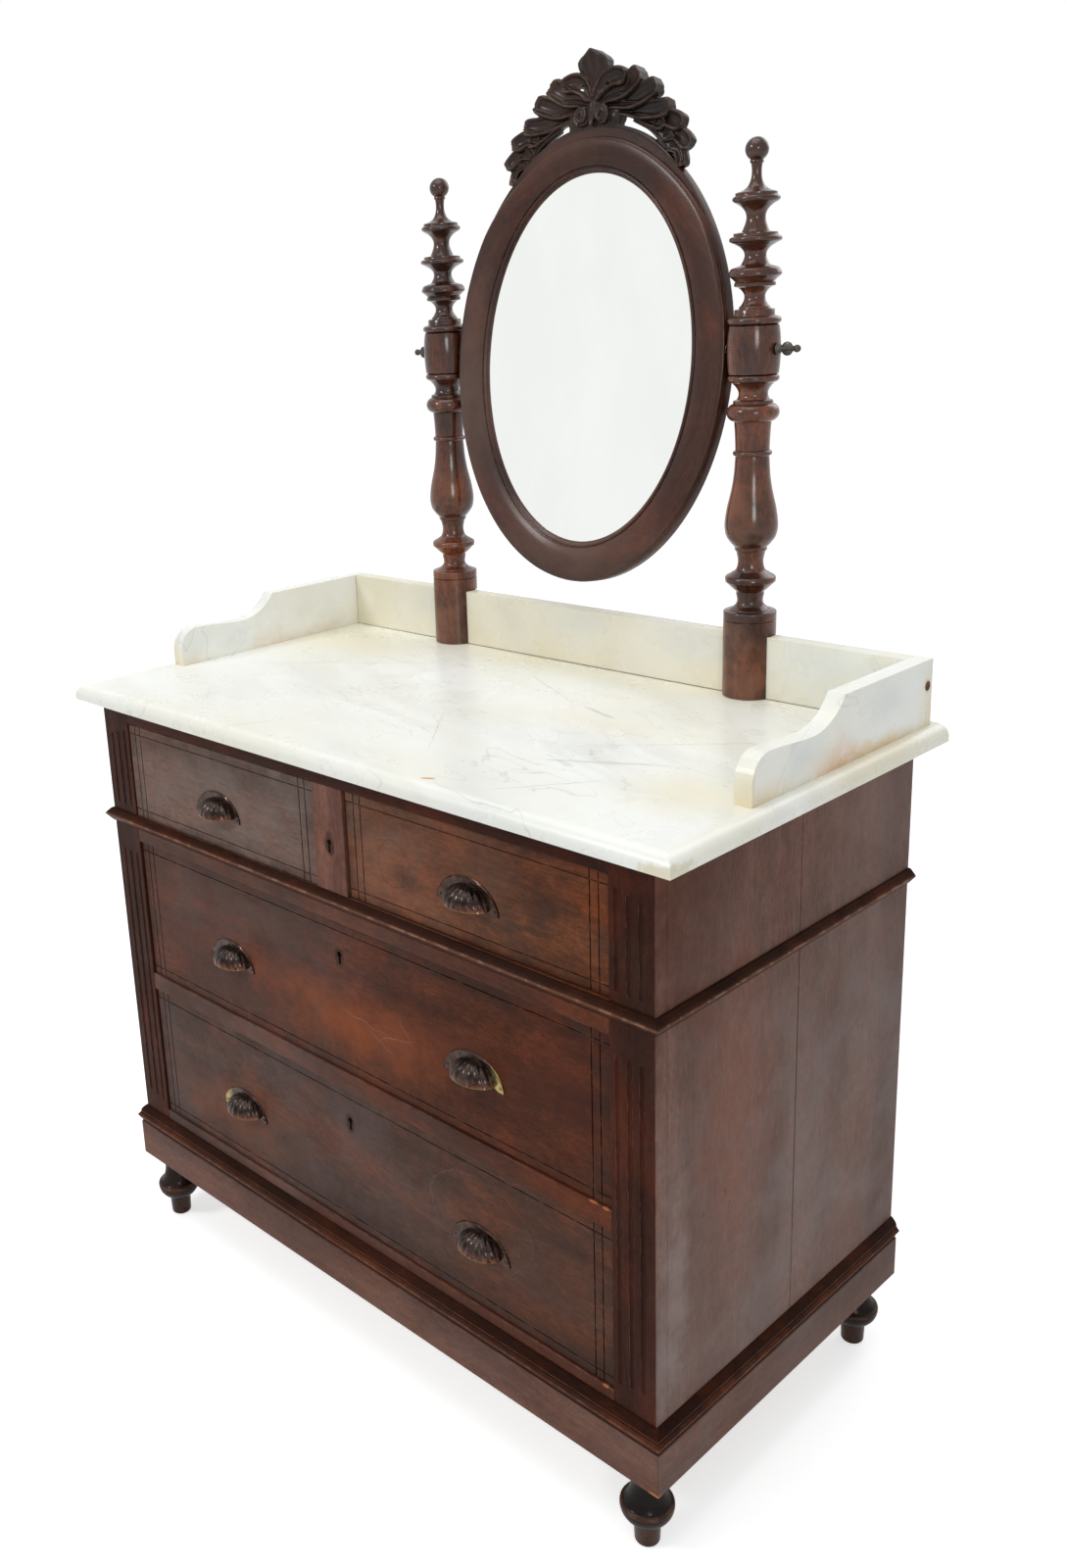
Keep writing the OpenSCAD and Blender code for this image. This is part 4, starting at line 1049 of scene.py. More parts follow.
class Turned:
    """A turned outline, built up from the bottom in millimetres."""

    def __init__(self) -> None:
        """Start on the axis at height 0."""
        self.points: list[Point2] = []

    def to(self, *points: Point2) -> "Turned":
        """Go on in straight lines through points of radius and height."""
        self.points.extend(points)
        return self

    def arc(self, r: float, z: float, size: float, start: float, end: float, steps: int = 14) -> "Turned":
        """Go on along an arc.

        Args:
            r: Radius at which the arc's centre lies.
            z: Height of the arc's centre.
            size: The arc's own radius.
            start: First angle in degrees.
            end: Last angle in degrees.
            steps: How many steps it is cut into.

        Returns:
            The outline itself.
        """
        for i in range(steps + 1):
            a = math.radians(start + (end - start) * i / steps)
            self.points.append((r + size * math.cos(a), z + size * math.sin(a)))
        return self

    def bead(self, z: float, r: float, height: float) -> "Turned":
        """Go on round a half-round bead whose widest radius is r at height z."""
        return self.arc(r - height / 2, z, height / 2, -90, 90, 12)

    def cove(self, r0: float, z0: float, r1: float, z1: float, waist: float, steps: int = 18) -> "Turned":
        """Go on through a hollow.

        Args:
            r0: Radius at its foot.
            z0: Height of its foot.
            r1: Radius at its head.
            z1: Height of its head.
            waist: Least radius between them.
            steps: How many steps it is cut into.

        Returns:
            The outline itself.
        """
        for i in range(steps + 1):
            t = i / steps
            share = math.sin(math.pi * t) ** 0.8 if 0 < t < 1 else 0.0
            self.points.append(((r0 + (r1 - r0) * t) * (1 - share) + waist * share, z0 + (z1 - z0) * t))
        return self

    def smooth(self, *knots: Point2, steps: int = 8) -> "Turned":
        """Go on along one smooth curve through knots of radius and height.

        Args:
            *knots: The knots.
            steps: Steps from one knot to the next.

        Returns:
            The outline itself.
        """
        ends = [knots[0], *knots, knots[-1]]
        for a, b, c, d in zip(ends, ends[1:], ends[2:], ends[3:]):
            for i in range(steps):
                t = i / steps
                self.points.append(tuple(
                    0.5 * (2 * q + (r - p) * t + (2 * p - 5 * q + 4 * r - s) * t * t
                           + (3 * q - p - 3 * r + s) * t ** 3)
                    for p, q, r, s in zip(a, b, c, d)
                ))
        self.points.append(knots[-1])
        return self


# ------------ dressing of carried-over nodes


def solids_of(mesh: bpy.types.Mesh) -> list[list[int]]:
    """Find the separate solids of a mesh whose faces may not share points.

    Args:
        mesh: The mesh.

    Returns:
        The face numbers of each solid.
    """
    parent: dict[tuple[int, ...], tuple[int, ...]] = {}

    def root(key: tuple[int, ...]) -> tuple[int, ...]:
        """The first point of the solid that a point belongs to."""
        while parent.setdefault(key, key) != key:
            parent[key] = parent[parent[key]]
            key = parent[key]
        return key

    keys = [tuple(round(c * 2e5) for c in v.co) for v in mesh.vertices]
    for face in mesh.polygons:
        first = root(keys[face.vertices[0]])
        for corner in face.vertices[1:]:
            parent[root(keys[corner])] = first
    found: dict[tuple[int, ...], list[int]] = {}
    for face in mesh.polygons:
        found.setdefault(root(keys[face.vertices[0]]), []).append(face.index)
    return list(found.values())


def dress_boards(node: str, timber: Timber, first_variant: int = 0, one_log: bool = False) -> None:
    """Give each solid of a node its timber, with the fibres along its longest side.

    Args:
        node: Name of the carried-over node.
        timber: The finish.
        first_variant: Which log the first solid is cut from.
        one_log: Whether all of its solids come from the same log.
    """
    mesh = frame["nodes"][node].data
    mesh.materials.clear()
    chosen: list[bpy.types.Material] = []
    numbers = [0] * len(mesh.polygons)
    for count, faces in enumerate(solids_of(mesh)):
        places = [mesh.vertices[i].co for f in faces for i in mesh.polygons[f].vertices]
        spans = [max(p[axis] for p in places) - min(p[axis] for p in places) for axis in range(3)]
        grain = (Grain.ALONG_X, Grain.ALONG_Y, Grain.ALONG_Z)[spans.index(max(spans))]
        material = timber.material(grain, first_variant + (0 if one_log else count % 3))
        if material not in chosen:
            chosen.append(material)
            mesh.materials.append(material)
        for f in faces:
            numbers[f] = chosen.index(material)
    mesh.polygons.foreach_set("material_index", numbers)


def dress(node: str, material: bpy.types.Material) -> None:
    """Give a carried-over node one material."""
    cover(frame["nodes"][node].data, material)


def stand_in(piece: bpy.types.Object, body: str, slot: str, *nodes: str) -> None:
    """Let a piece take the place of nodes on a body.

    Args:
        piece: The new piece.
        body: The body that it moves with.
        slot: Not used.
        *nodes: The nodes that it stands for.
    """
    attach(piece, body)
    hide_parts(*nodes)
    LOG.info("%s on %s, for %s", piece.name, body, ", ".join(nodes))


def joint_place(name: str) -> Vector:
    """Where a joint's axis passes, in metres."""
    return Vector(next(j["pos_m"] for j in frame["joints"] if j["name"] == name))


# ------------ marble


def vein(
    x: float, y: float, reach: Point2, colour: Colour, share: float, turn: float, wobble: float = 0.007
) -> Mark:
    """A thin streak on the slab's top.

    Args:
        x: Its middle, across.
        y: Its middle, from front to back.
        reach: Half its length and width.
        colour: Its colour.
        share: How strong it is in its middle.
        turn: Its slant seen from above, in radians.
        wobble: How far it strays.

    Returns:
        The mark.
    """
    return Mark((x, y, 0.88), (*reach, 0.01), colour, share, (0, 0, turn), 0, wobble)


@dataclass
class MarbleWork:
    """The slab and its three upstands."""

    veins: Marble = field(default_factory=Marble)
    slab_marks: tuple[Mark, ...] = (
        vein(-0.165, -0.256, (0.052, 0.0009), srgb(150, 152, 150), 0.6, 1.02, 0.006),
        Mark((0.18, -0.264, 0.88), (0.011, 0.0035, 0.01), srgb(206, 138, 62), 1.0, (0, 0, 0.5)),
        Mark((0.535, -0.289, 0.862), (0.05, 0.05, 0.012), srgb(206, 190, 150), 0.6, ragged=0.9),
        vein(-0.383, 0.184, (0.012, 0.0018), srgb(150, 118, 82), 0.6, -0.4, 0.006),
        patch((0.44, -0.12, 0.88), (0.12, 0.10, 0.1), srgb(228, 218, 180), 0.6, ragged=0.25),
        patch((0.53, 0.12, 0.875), (0.03, 0.26, 0.1), srgb(220, 206, 166), 0.7, ragged=0.25),
        patch((0.53, -0.2, 0.875), (0.03, 0.16, 0.1), srgb(226, 220, 196), 0.5, ragged=0.25),
        patch((0.20, 0.02, 0.88), (0.22, 0.07, 0.1), srgb(230, 222, 190), 0.5, ragged=0.25),
        patch((-0.40, 0.13, 0.88), (0.24, 0.12, 0.1), srgb(232, 222, 184), 0.6, ragged=0.25),
        patch((0.0, 0.2, 0.88), (0.5, 0.05, 0.1), srgb(230, 222, 188), 0.5, ragged=0.25),
        vein(-0.30, 0.04, (0.17, 0.0016), srgb(168, 166, 150), 0.4, 0.62),
        vein(0.03, 0.115, (0.11, 0.0016), srgb(152, 154, 146), 0.4, -0.5),
        vein(0.17, 0.055, (0.05, 0.004), srgb(150, 152, 144), 0.4, -0.3, 0.006),
        vein(0.33, 0.01, (0.14, 0.0015), srgb(158, 158, 146), 0.4, 0.7),
        vein(0.30, -0.10, (0.10, 0.005), srgb(168, 166, 146), 0.36, 0.5),
        vein(0.05, -0.12, (0.1, 0.0012), srgb(160, 160, 150), 0.36, -0.9),
        vein(0.30, -0.20, (0.09, 0.0016), srgb(160, 162, 156), 0.36, 0.9),
    )
    joint_dirt: Colour = srgb(112, 84, 62)

    def joint_line(self) -> Mark:
        """The dirty joint along the foot of the back upstand."""
        low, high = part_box("marble_back")
        place = ((low.x + high.x) / 2, low.y, low.z)
        reach = ((high.x - low.x) / 2, 1.1 * MM, 4 * MM)
        return Mark(place, reach, self.joint_dirt, 0.7, wobble=0.002, ragged=0.3)

    def side_marks(self, way: int) -> tuple[Mark, ...]:
        """Stains of one side upstand: peach along its foot, yellow at its back and round its pin.

        Args:
            way: 1 for the right side and -1 for the left.

        Returns:
            The marks.
        """
        low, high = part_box("marble_side_right")
        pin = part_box("gallery_pins")
        x, foot, back = way * high.x, low.z, high.y
        middle = (low.y + high.y) / 2
        stains = (
            ((x, middle - 0.02, foot), (0.04, 0.08, 0.05), srgb(222, 176, 138), 0.85, 40.0),
            ((x, middle + 0.06, foot), (0.04, 0.17, 0.022), srgb(214, 180, 128), 0.85, 40.0),
            ((x, low.y, foot), (0.04, 0.12, 0.026), srgb(222, 196, 148), 0.8, 40.0),
            ((x, low.y, foot + 0.02), (0.04, 0.008, 0.05), srgb(222, 210, 176), 0.7, 30.0),
            ((x, back, foot), (0.04, 0.05, 0.12), srgb(222, 206, 162), 0.75, 30.0),
        )
        return (
            *(Mark(*stain, core=-0.2, grit=grit) for *stain, grit in stains),
            Mark((x, pin[0].y + 0.006, pin[0].z + 0.006), (0.03, 0.011, 0.011), srgb(206, 186, 160), 0.6),
            patch((x, middle - 0.09, foot + 0.03), (0.04, 0.07, 0.04), srgb(206, 212, 212), 0.55),
            patch((x, middle + 0.08, foot + 0.05), (0.04, 0.08, 0.04), srgb(208, 212, 210), 0.5),
        )

    def finish(self, node: str) -> Marble:
        """The marble of one node, with its own stains.

        Args:
            node: Name of the node.

        Returns:
            The finish.
        """
        if node == "marble_top":
            return replace(self.veins, marks=(*self.slab_marks, self.joint_line()))
        if node == "marble_back":
            paler = patch((0.42, 0.24, 0.92), (0.2, 0.1, 0.2), srgb(234, 236, 230), 0.8)
            greys = tuple(
                patch((x, 0.24, 0.94), (0.1, 0.1, 0.05), srgb(206, 210, 206), 0.6)
                for x in (-0.3, -0.02, 0.19, 0.38)
            )
            clear, cloud = srgb(238, 234, 218), srgb(228, 220, 194)
            return replace(self.veins, clear=clear, cloud=cloud, marks=(paler, *greys))
        return replace(self.veins, stained=0.42, marks=self.side_marks(1 if node.endswith("right") else -1))

    def build(self) -> None:
        """Dress the marble and the pins in it."""
        for number, node in enumerate(("marble_top", "marble_back", "marble_side_left", "marble_side_right")):
            dress(node, self.finish(node).material(turn=0.35 + 0.4 * number, shift=0.7 * number))
        plug = replace(PINE, name="pin_wood", dark=srgb(112, 82, 62), light=srgb(158, 118, 92), contrast=1.0)
        dress("gallery_pins", plug.material(Grain.ALONG_X))
        LOG.info("marble dressed")


# ------------ carcase


@dataclass
class Moulding:
    """A moulding mitred round the front and both sides; its outline is [stand out, height]."""

    node: str
    outline: Sequence[Point2]
    half_width: float = 500.0
    depth: float = 515.0
    steps: int = 60
    waviness: float = 0.12

    def path(self) -> list[tuple[Point2, Point2]]:
        """Places along the carcase's edge and the way in which the moulding stands out there.

        Returns:
            Each place with its way out.
        """
        x, y = self.half_width, self.depth
        way: list[tuple[Point2, Point2]] = []
        legs = (
            ((-x, y), (-x, 0), (-1, 0), (-1, -1)),
            ((-x, 0), (x, 0), (0, -1), (1, -1)),
            ((x, 0), (x, y), (1, 0), (1, 0)),
        )
        for (x0, y0), (x1, y1), out, corner in legs:
            for i in range(1 if way else 0, self.steps + 1):
                t = i / self.steps
                way.append(((x0 + (x1 - x0) * t, y0 + (y1 - y0) * t), corner if i == self.steps else out))
        return way

    def build(
        self, finish: bpy.types.Material, rubbed: Callable[[Point2], float], soiled: Callable[[Point2], float]
    ) -> None:
        """Sweep the outline round the carcase in place of the node.

        Args:
            finish: The material.
            rubbed: How worn the moulding is at a place of its outline.
            soiled: How dirty it is there, and how much shade is painted there.
        """
        low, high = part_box(self.node)
        front = high.y - self.depth * MM
        rings, spots = [], []
        for (x, y), (out_x, out_y) in self.path():
            ring = []
            for out, height in self.outline:
                wave = self.waviness * (noise.noise(Vector((x, y, height * 6)) * 0.02) if 0.5 < out else 0.0)
                reach = max(out + wave - self.waviness, 0.0) * MM
                place = (x * MM + out_x * reach, front + y * MM + out_y * reach, low.z + height * MM)
                ring.append(Vector(place))
                spots.append((out, height))
            rings.append(ring)
        piece = tube("swept_" + self.node, rings)
        places = (tuple(round(c, 6) for c in p) for ring in rings for p in ring)
        by_place = dict(zip(places, spots))
        for name, share in (("rubbed", rubbed), ("soiled", soiled)):
            paint(piece, name, lambda p: share(by_place.get(tuple(round(c, 6) for c in p), (0, 0))))
        crease(piece, 34)
        cover(piece.data, finish)
        stand_in(piece, "stand", "mahogany", self.node)


@dataclass
class Carcase:
    """Sides, stiles, rails, plinth, mouldings and the hidden frame."""

    bare: tuple[str, ...] = (
        "top_bearers", "plinth_back", "corner_blocks", "back_boards", "runners", "drawer_stops"
    )

    def mouldings(self) -> None:
        """Sweep the waist moulding and the base moulding."""
        waist = Turned().to((0, 0), (1.4, 0)).smooth((1.6, 0.1), (5, 4), (9.6, 9.6), steps=4)
        waist.smooth((10.2, 10.6), (10.5, 11.5), (10.2, 12.4), steps=3)
        waist.smooth((9.2, 13.6), (5.5, 17.6), (3.4, 19.6), steps=4).to((3.0, 20), (0, 20))
        finish = MOULD_WOOD.material(Grain.ALONG_X, 3)
        # The waist moulding: worn along its nose; painted shade with dust on its upper slope and at its foot.
        Moulding("waist_moulding", waist.points).build(
            finish, lambda s: 0.55 if s[0] > 10.1 else 0.12 if s[0] > 8.5 else 0.0,
            lambda s: 0.6 if s[1] > 16 else 0.4 if s[1] > 13 else 0.5 if s[1] < 4 else 0.0,
        )
        base = Turned().to((0, 0.1), (7.2, 0.1), (7.5, 0.4), (7.5, 2.5))
        base.smooth((8.2, 3.2), (9.4, 5), (11.8, 9.2), steps=4)
        base.smooth((12.3, 10.2), (12.5, 11), (12.2, 11.8), steps=3)
        base.smooth((11.6, 12.6), (10, 14.2), (9, 15.5), steps=3).to((8.4, 16.3), (8.3, 17.8))
        base.smooth((8.2, 18.6), (7.6, 20.6), (5.8, 23.6), (4.4, 25.2), (1.6, 27.9), steps=3)
        base.to((1.2, 28), (0, 28))
        # The base moulding: worn along its nose and one fillet; painted shade with dust in its upper cove, in
        # the quirk above the nose and at its foot.
        Moulding("base_moulding", base.points).build(
            finish, lambda s: 0.3 if 12.1 < s[0] else 0.28 if 17 < s[1] < 18.2 else 0.0,
            lambda s: 0.6 if s[1] > 18.4 else 0.6 if 15.2 < s[1] < 16.9 else 0.5 if s[1] < 2.4 else 0.05,
        )

    def build(self) -> None:
        """Dress every board of the carcase."""
        chips = (
            Mark((0.4141, -0.2664, 0.4392), (0.008, 0.004, 0.0022), srgb(178, 108, 66), 0.8),
            Mark((0.4319, -0.2664, 0.4385), (0.005, 0.004, 0.003), srgb(170, 100, 62), 0.8),
            Mark((0.4284, -0.2664, 0.204), (0.006, 0.004, 0.003), srgb(178, 108, 66), 0.8),
        )
        place, reach = (0.4582, -0.2664, 0.242), (0.0007, 0.01, 0.052)
        crack = Mark(place, reach, srgb(16, 9, 8), 0.9, (0, -0.1, 0), 0, 0.004, 0.2)
        for number, side in enumerate(("left", "right")):
            dress_boards("side_" + side, SIDE_WOOD, number, one_log=True)
            marks = chips + (crack,) if side == "right" else ()
            stile = replace(STILE_WOOD, name="stile_" + side, marks=marks)
            dress_boards("stile_" + side, stile, number, one_log=True)
            # The plinth's sides carry more painted sheen.
            dress_boards("plinth_" + side, replace(PLINTH_WOOD, name="plinth_side", bloom_share=0.4), number)
        dress_boards("plinth_front", PLINTH_WOOD, 2)
        dress_boards("top_rail", replace(STILE_WOOD, name="top_rail_wood", wear=0.5), 1)
        keyhole = Mark((0.0, -0.2664, 0.756), (0.011, 0.01, 0.019), srgb(34, 20, 18), 0.75)
        dress_boards("muntin", replace(MUNTIN_WOOD, marks=(keyhole,)), 1)
        for number, node in enumerate(("waist_rail", "middle_rail", "bottom_rail")):
            dress_boards(node, replace(RAIL_WOOD, marks=chips), number)
        self.mouldings()
        for number, node in enumerate(self.bare):
            dress_boards(node, PINE, number)
        dress("muntin_lock", LOCK_IRON.material())
        dress("post_screws", IRON.material())
        LOG.info("carcase dressed")


@dataclass
class Foot:
    """A turned foot, dowelled into the plinth."""

    node: str
    toe_r: float = 11.0
    stem_r: float = 16.0
    bulb_r: float = 32.0
    neck_r: float = 18.5
    height: float = 105.0
    dowel_r: float = 10.0
    dowel_l: float = 38.0

    def outline(self) -> list[Point2]:
        """Radius and height of the foot from the floor up.

        Returns:
            The outline, in millimetres.
        """
        stem, bulb, neck = self.stem_r, self.bulb_r, self.neck_r
        turned = Turned().arc(self.toe_r, 4, 4, -90, -8, 8).to((stem, 29))
        knots = ((stem + 0.4, 30.4), (21, 33.5), (26, 38), (bulb - 2, 44), (bulb - 0.2, 50), (bulb, 54))
        turned.smooth(*knots, steps=6)
        turned.to((bulb - 0.5, 55.9), (bulb - 1.6, 56.9), (bulb - 3, 57.4))
        knots = ((bulb - 4, 57.8), (26, 60), (neck + 4, 66), (neck + 1, 76), (neck, 86), (neck + 1.6, 96))
        turned.smooth(*knots, steps=6)
        top = self.height - 0.1
        turned.to((neck + 4.8, self.height - 4.3), (neck + 5.5, self.height - 3.5), (neck + 5.5, top))
        return turned.to((self.dowel_r, top), (self.dowel_r, self.height + self.dowel_l)).points

    def build(self) -> bpy.types.Object:
        """Turn the foot in the place of its node.

        Returns:
            The foot.
        """
        low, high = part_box(self.node)
        centre = Vector(((low.x + high.x) / 2, (low.y + high.y) / 2, 0))
        piece = lathe("turned_" + self.node, self.outline(), centre)
        crease(piece)
        paint(piece, "rubbed", lambda p: 0.5 if 0.0535 < p.z < 0.0575 else 0.28 if p.z < 0.03 else 0.0)
        # Painted shade with dust on the neck under the plinth and on the underside of the bulb.
        paint(piece, "soiled", lambda p: 0.6 if 0.058 < p.z < 0.1 else 0.25 if 0.03 < p.z < 0.052 else 0.0)
        cover(piece.data, FOOT_WOOD.material(Grain.ALONG_Z, 4))
        stand_in(piece, "stand", "mahogany", self.node)
        return piece


# ------------ posts


@dataclass
class Post:
    """A turned post, notched over the back upstand."""

    node: str
    foot_r: float = 34.0
    notch_gap: float = 0.1
    screw_r: float = 4.05

    def outline(self) -> list[Point2]:
        """Radius and height above the marble of the whole post.

        Returns:
            The outline, in millimetres.
        """
        r = self.foot_r
        turned = Turned().to(
            (r - 0.8, 0.1), (r, 0.9), (r, 2.2), (r, 20), (r, 60), (r, 100.8), (r - 1.3, 101.6),
            (r - 1.3, 102.4), (r, 103.2)
        )
        turned.to((r, 110.4)).arc(r - 2.4, 110.9, 2.4, 0, 80, 8).to((27, 114.2), (26.2, 115))
        turned.cove(26, 115.5, 18, 137, 16.5).to((18.4, 138.6))
        turned.smooth((19, 139.2), (22.5, 141.8), (30.4, 149.6), (32, 151.2), steps=4)
        turned.arc(30.9, 154.2, 1.4, -20, 20, 4)
        knots = ((32, 157), (30.2, 158.8), (24, 162.4), (19, 166), (16.7, 172), (16.3, 180), (18.6, 190))
        turned.smooth(*knots, steps=5)
        turned.to((20.2, 191.6), (20.6, 192.4), (20.6, 195))
        turned.smooth(
            (20.9, 196), (26.4, 202), (31.4, 210), (33.5, 221), (33, 232),
            (30.8, 246), (27.8, 259), (24.8, 273), (22.6, 289), (21.5, 306), steps=6,
        )
        turned.bead(314.3, 24.5, 7)
        turned.smooth((21.3, 318.5), (21.5, 326), (22.1, 340), (22.9, 351.6), steps=5)
        turned.arc(20.9, 364.5, 11.5, -80, 72, 20).to((24.6, 376), (24.4, 379))
        turned.smooth((20, 380.6), (18.1, 385), (18.4, 390), (21, 395), (25, 399.6), steps=5)
        turned.bead(406, 31.5, 9.5)
        turned.smooth((30.6, 411.5), (31.7, 422), (32.5, 440), (31.7, 458), (30.2, 468.8), steps=6)
        turned.bead(475, 32.5, 9)
        turned.to((24.6, 481), (24.3, 482), (24.3, 487.6), (23.7, 488.4), (19, 489.2))
        turned.cove(18.7, 491, 22, 515, 12.5).to((24.6, 515.4), (24.9, 516), (24.9, 519.2), (24, 520.2))
        turned.smooth(
            (23.6, 520.9), (27.4, 524.6), (31.2, 527.6), (31.9, 529.6),
            (31.2, 532), (28.6, 536.4), (20, 539.4), steps=5,
        )
        turned.cove(18, 540, 23, 563.6, 13)
        turned.smooth((24.6, 564.6), (30, 567.2), (31.5, 569.5), (30.6, 572.2), (27, 573.8), steps=4)
        turned.to((26.5, 574.6), (26.5, 577)).cove(17, 578.6, 25, 612, 11.4)
        turned.smooth((26.4, 612.8), (28.5, 615.4), (27.6, 618.4), (25.2, 619.8), steps=4)
        turned.to((25, 620.4), (25, 622.8))
        knots = ((23, 624), (18, 625.2), (12, 629), (8.5, 634), (6.3, 641), (5.9, 649), (6.6, 655.6))
        turned.smooth(*knots, steps=5)
        return turned.to((8.2, 657.2), (8.2, 659.2)).arc(0, 672, 14, -57, 90, 22).points

    @staticmethod
    def marks(centre: Vector, pivot: Vector) -> tuple[Mark, ...]:
        """Darker towards the top, painted light on the front of the foot and of the belly, and a crack at the
        screw.

        Args:
            centre: Foot of the post's axis.
            pivot: A place on the mirror's axis.

        Returns:
            The marks.
        """
        x, front, z = centre.x, centre.y - 0.03, centre.z
        return (
            patch((x, pivot.y, 1.74), (0.5, 0.5, 0.60), srgb(34, 17, 10), 1.0, ragged=0.4),
            # Painted light on the front of the foot and of the belly.
            patch((x, front, z), (0.07, 0.05, 0.15), srgb(128, 84, 60), 0.6, ragged=1.3),
            patch((x, front, z + 0.25), (0.06, 0.05, 0.07), srgb(134, 82, 52), 0.5, ragged=1.2),
            Mark((x, pivot.y, pivot.z), (0.05, 0.05, 0.0005), srgb(18, 10, 8), 0.8, wobble=0.003, ragged=0.3),
        )

    def build(self) -> bpy.types.Object:
        """Turn the post, cut its notch and its screw hole.

        Returns:
            The post.
        """
        low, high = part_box(self.node)
        slab_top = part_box("marble_top")[1].z
        upstand_low, upstand_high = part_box("marble_back")
        pivot = joint_place("mirror_tilt")
        centre = Vector(((low.x + high.x) / 2, pivot.y, slab_top))
        piece = lathe("turned_" + self.node, self.outline(), centre)
        reach = 2 * self.foot_r * MM
        notch = box_object(
            "notch", (centre.x - reach, upstand_low.y - self.notch_gap * MM, slab_top - reach),
            (centre.x + reach, centre.y + reach, upstand_high.z + self.notch_gap * MM),
        )
        hole = lathe("hole", [(self.screw_r, -60), (self.screw_r, 60)], ORIGIN, 32)
        across = Matrix.Rotation(math.pi / 2, 4, "Y")
        hole.matrix_world = Matrix.Translation((centre.x, pivot.y, pivot.z)) @ across
        combine(piece, [notch, hole], "DIFFERENCE")
        crease(piece)
        paint(piece, "rubbed", lambda p: 0.5 if p.z - slab_top < 0.0012 else 0.0)
        finish = replace(TURNED_WOOD, name=TURNED_WOOD.name + self.node, marks=self.marks(centre, pivot))
        cover(piece.data, finish.material(Grain.ALONG_Z, 5))
        stand_in(piece, "stand", "mahogany", self.node)
        return piece


# ------------ mirror


@dataclass
class Mirror:
    """The oval frame with its glass, leaning back between the posts."""

    half_width: float = 233.0
    half_height: float = 300.0
    ring: float = 56.0
    thick: float = 22.0
    glass_lap: float = 5.0
    rebate: float = 12.0
    pivot_rise: float = 15.0
    lean: float = 5.6
    step_most: float = 11.0
    step_least: float = 0.9
    step_drop: float = 6.5

    def placed(self) -> Matrix:
        """From the upright mirror, centred on its oval, to its place.

        Returns:
            The change of place.
        """
        pivot = joint_place("mirror_tilt")
        lean = Matrix.Rotation(math.radians(-self.lean), 4, "X")
        return Matrix.Translation(pivot) @ lean @ Matrix.Translation((0, 0, -self.pivot_rise * MM))

    def section(self, step: float) -> list[Point2]:
        """Outline of the ring at one place.

        Args:
            step: Width of the low band outside the rounded face.

        Returns:
            Distance in from the outer edge and forward of the middle, of each point.
        """
        face, inner = self.thick / 2, self.ring
        level = face - self.step_drop
        bed, lap = self.rebate - face, inner - self.glass_lap
        turned = Turned().to((0, -face), (0, level - 1), (0.5, level))
        turned.to((step - 0.1, level), (step, level - 0.3))
        turned.smooth(
            (step + 0.1, face - 4.4), (step + 1.2, face - 2.2), (step + 4, face - 0.6), (step + 9, face),
            (26, face - 0.1), (36, face - 1.3), (43, face - 3.2), (inner - 9.4, face - 4.6), steps=6,
        )
        turned.to((inner - 8.8, face - 6.2), (inner - 7.8, face - 6.6))
        turned.arc(inner - 5.2, face - 7, 2.3, 160, 10, 12)
        turned.to((inner - 2.2, face - 8.2), (inner - 0.6, face - 8.8), (inner, face - 9.4), (inner, bed))
        return turned.to((lap, bed), (lap, -face)).points

    def step(self, a: float) -> float:
        """Width of the low band at an angle round the oval, broad under the crest only.

        Args:
            a: The angle in radians, a quarter turn at the top.

        Returns:
            The width in millimetres.
        """
        under = min(max((math.sin(a) - 0.55) / 0.4, 0.0), 1.0)
        return self.step_least + (self.step_most - self.step_least) * under * under * (3 - 2 * under)

    def in_step(self, p: Vector, mouth: float) -> bool:
        """Whether a place on the upright ring lies on the low band or outside of it.

        Args:
            p: The place, in metres.
            mouth: Half the height of the rounded face at its top.

        Returns:
            True on the band.
        """
        a = math.atan2(p.z / self.half_height, p.x / self.half_width)
        inward = self.half_height - math.hypot(p.x * self.half_height / self.half_width, p.z) / MM
        on_band = inward < self.half_height - mouth - 0.6
        return math.sin(a) > 0.6 and on_band and p.y > -(self.thick / 2 - 5) * MM

    def oval(self, steps: int = 220) -> bpy.types.Object:
        """Sweep the ring's section round the oval.

        Args:
            steps: Points round the oval.

        Returns:
            The ring, upright about its centre.
        """
        points = []
        for i in range(steps):
            a = 2 * math.pi * i / steps
            section = self.section(self.step(a))
            for inward, forward in section:
                x, z = (self.half_width - inward) * math.cos(a), (self.half_height - inward) * math.sin(a)
                points.append(Vector((x, -forward, z)) * MM)
        size = len(section)
        faces = []
        for i in range(steps):
            here, there = i * size, (i + 1) % steps * size
            faces += [
                (here + j, there + j, there + (j + 1) % size, here + (j + 1) % size) for j in range(size)
            ]
        return mesh_object("oval_frame", points, faces)

    def build(self) -> None:
        """Build the frame and the crest and dress the glass, the back board and the sockets."""
        piece = self.oval()
        mouth = self.half_height - self.step_most
        # Painted shade with dust on the low band under the crest.
        paint(piece, "soiled", lambda p: 0.45 if self.in_step(p, mouth) else 0.0)
        piece.data.transform(self.placed())
        crease(piece, 32)
        round_oval = replace(RING_WOOD, oval_centre=tuple(self.placed().translation))
        cover(piece.data, round_oval.material(Grain.ROUND_OVAL))
        stand_in(piece, "mirror", "mahogany", "mirror_frame")
        dress("mirror_glass", SilveredGlass().material())
        dress_boards("mirror_backboard", PINE)
        dress("mirror_sockets", PULL_BRASS.material())
        Crest().build(self.placed())
        LOG.info("mirror built")


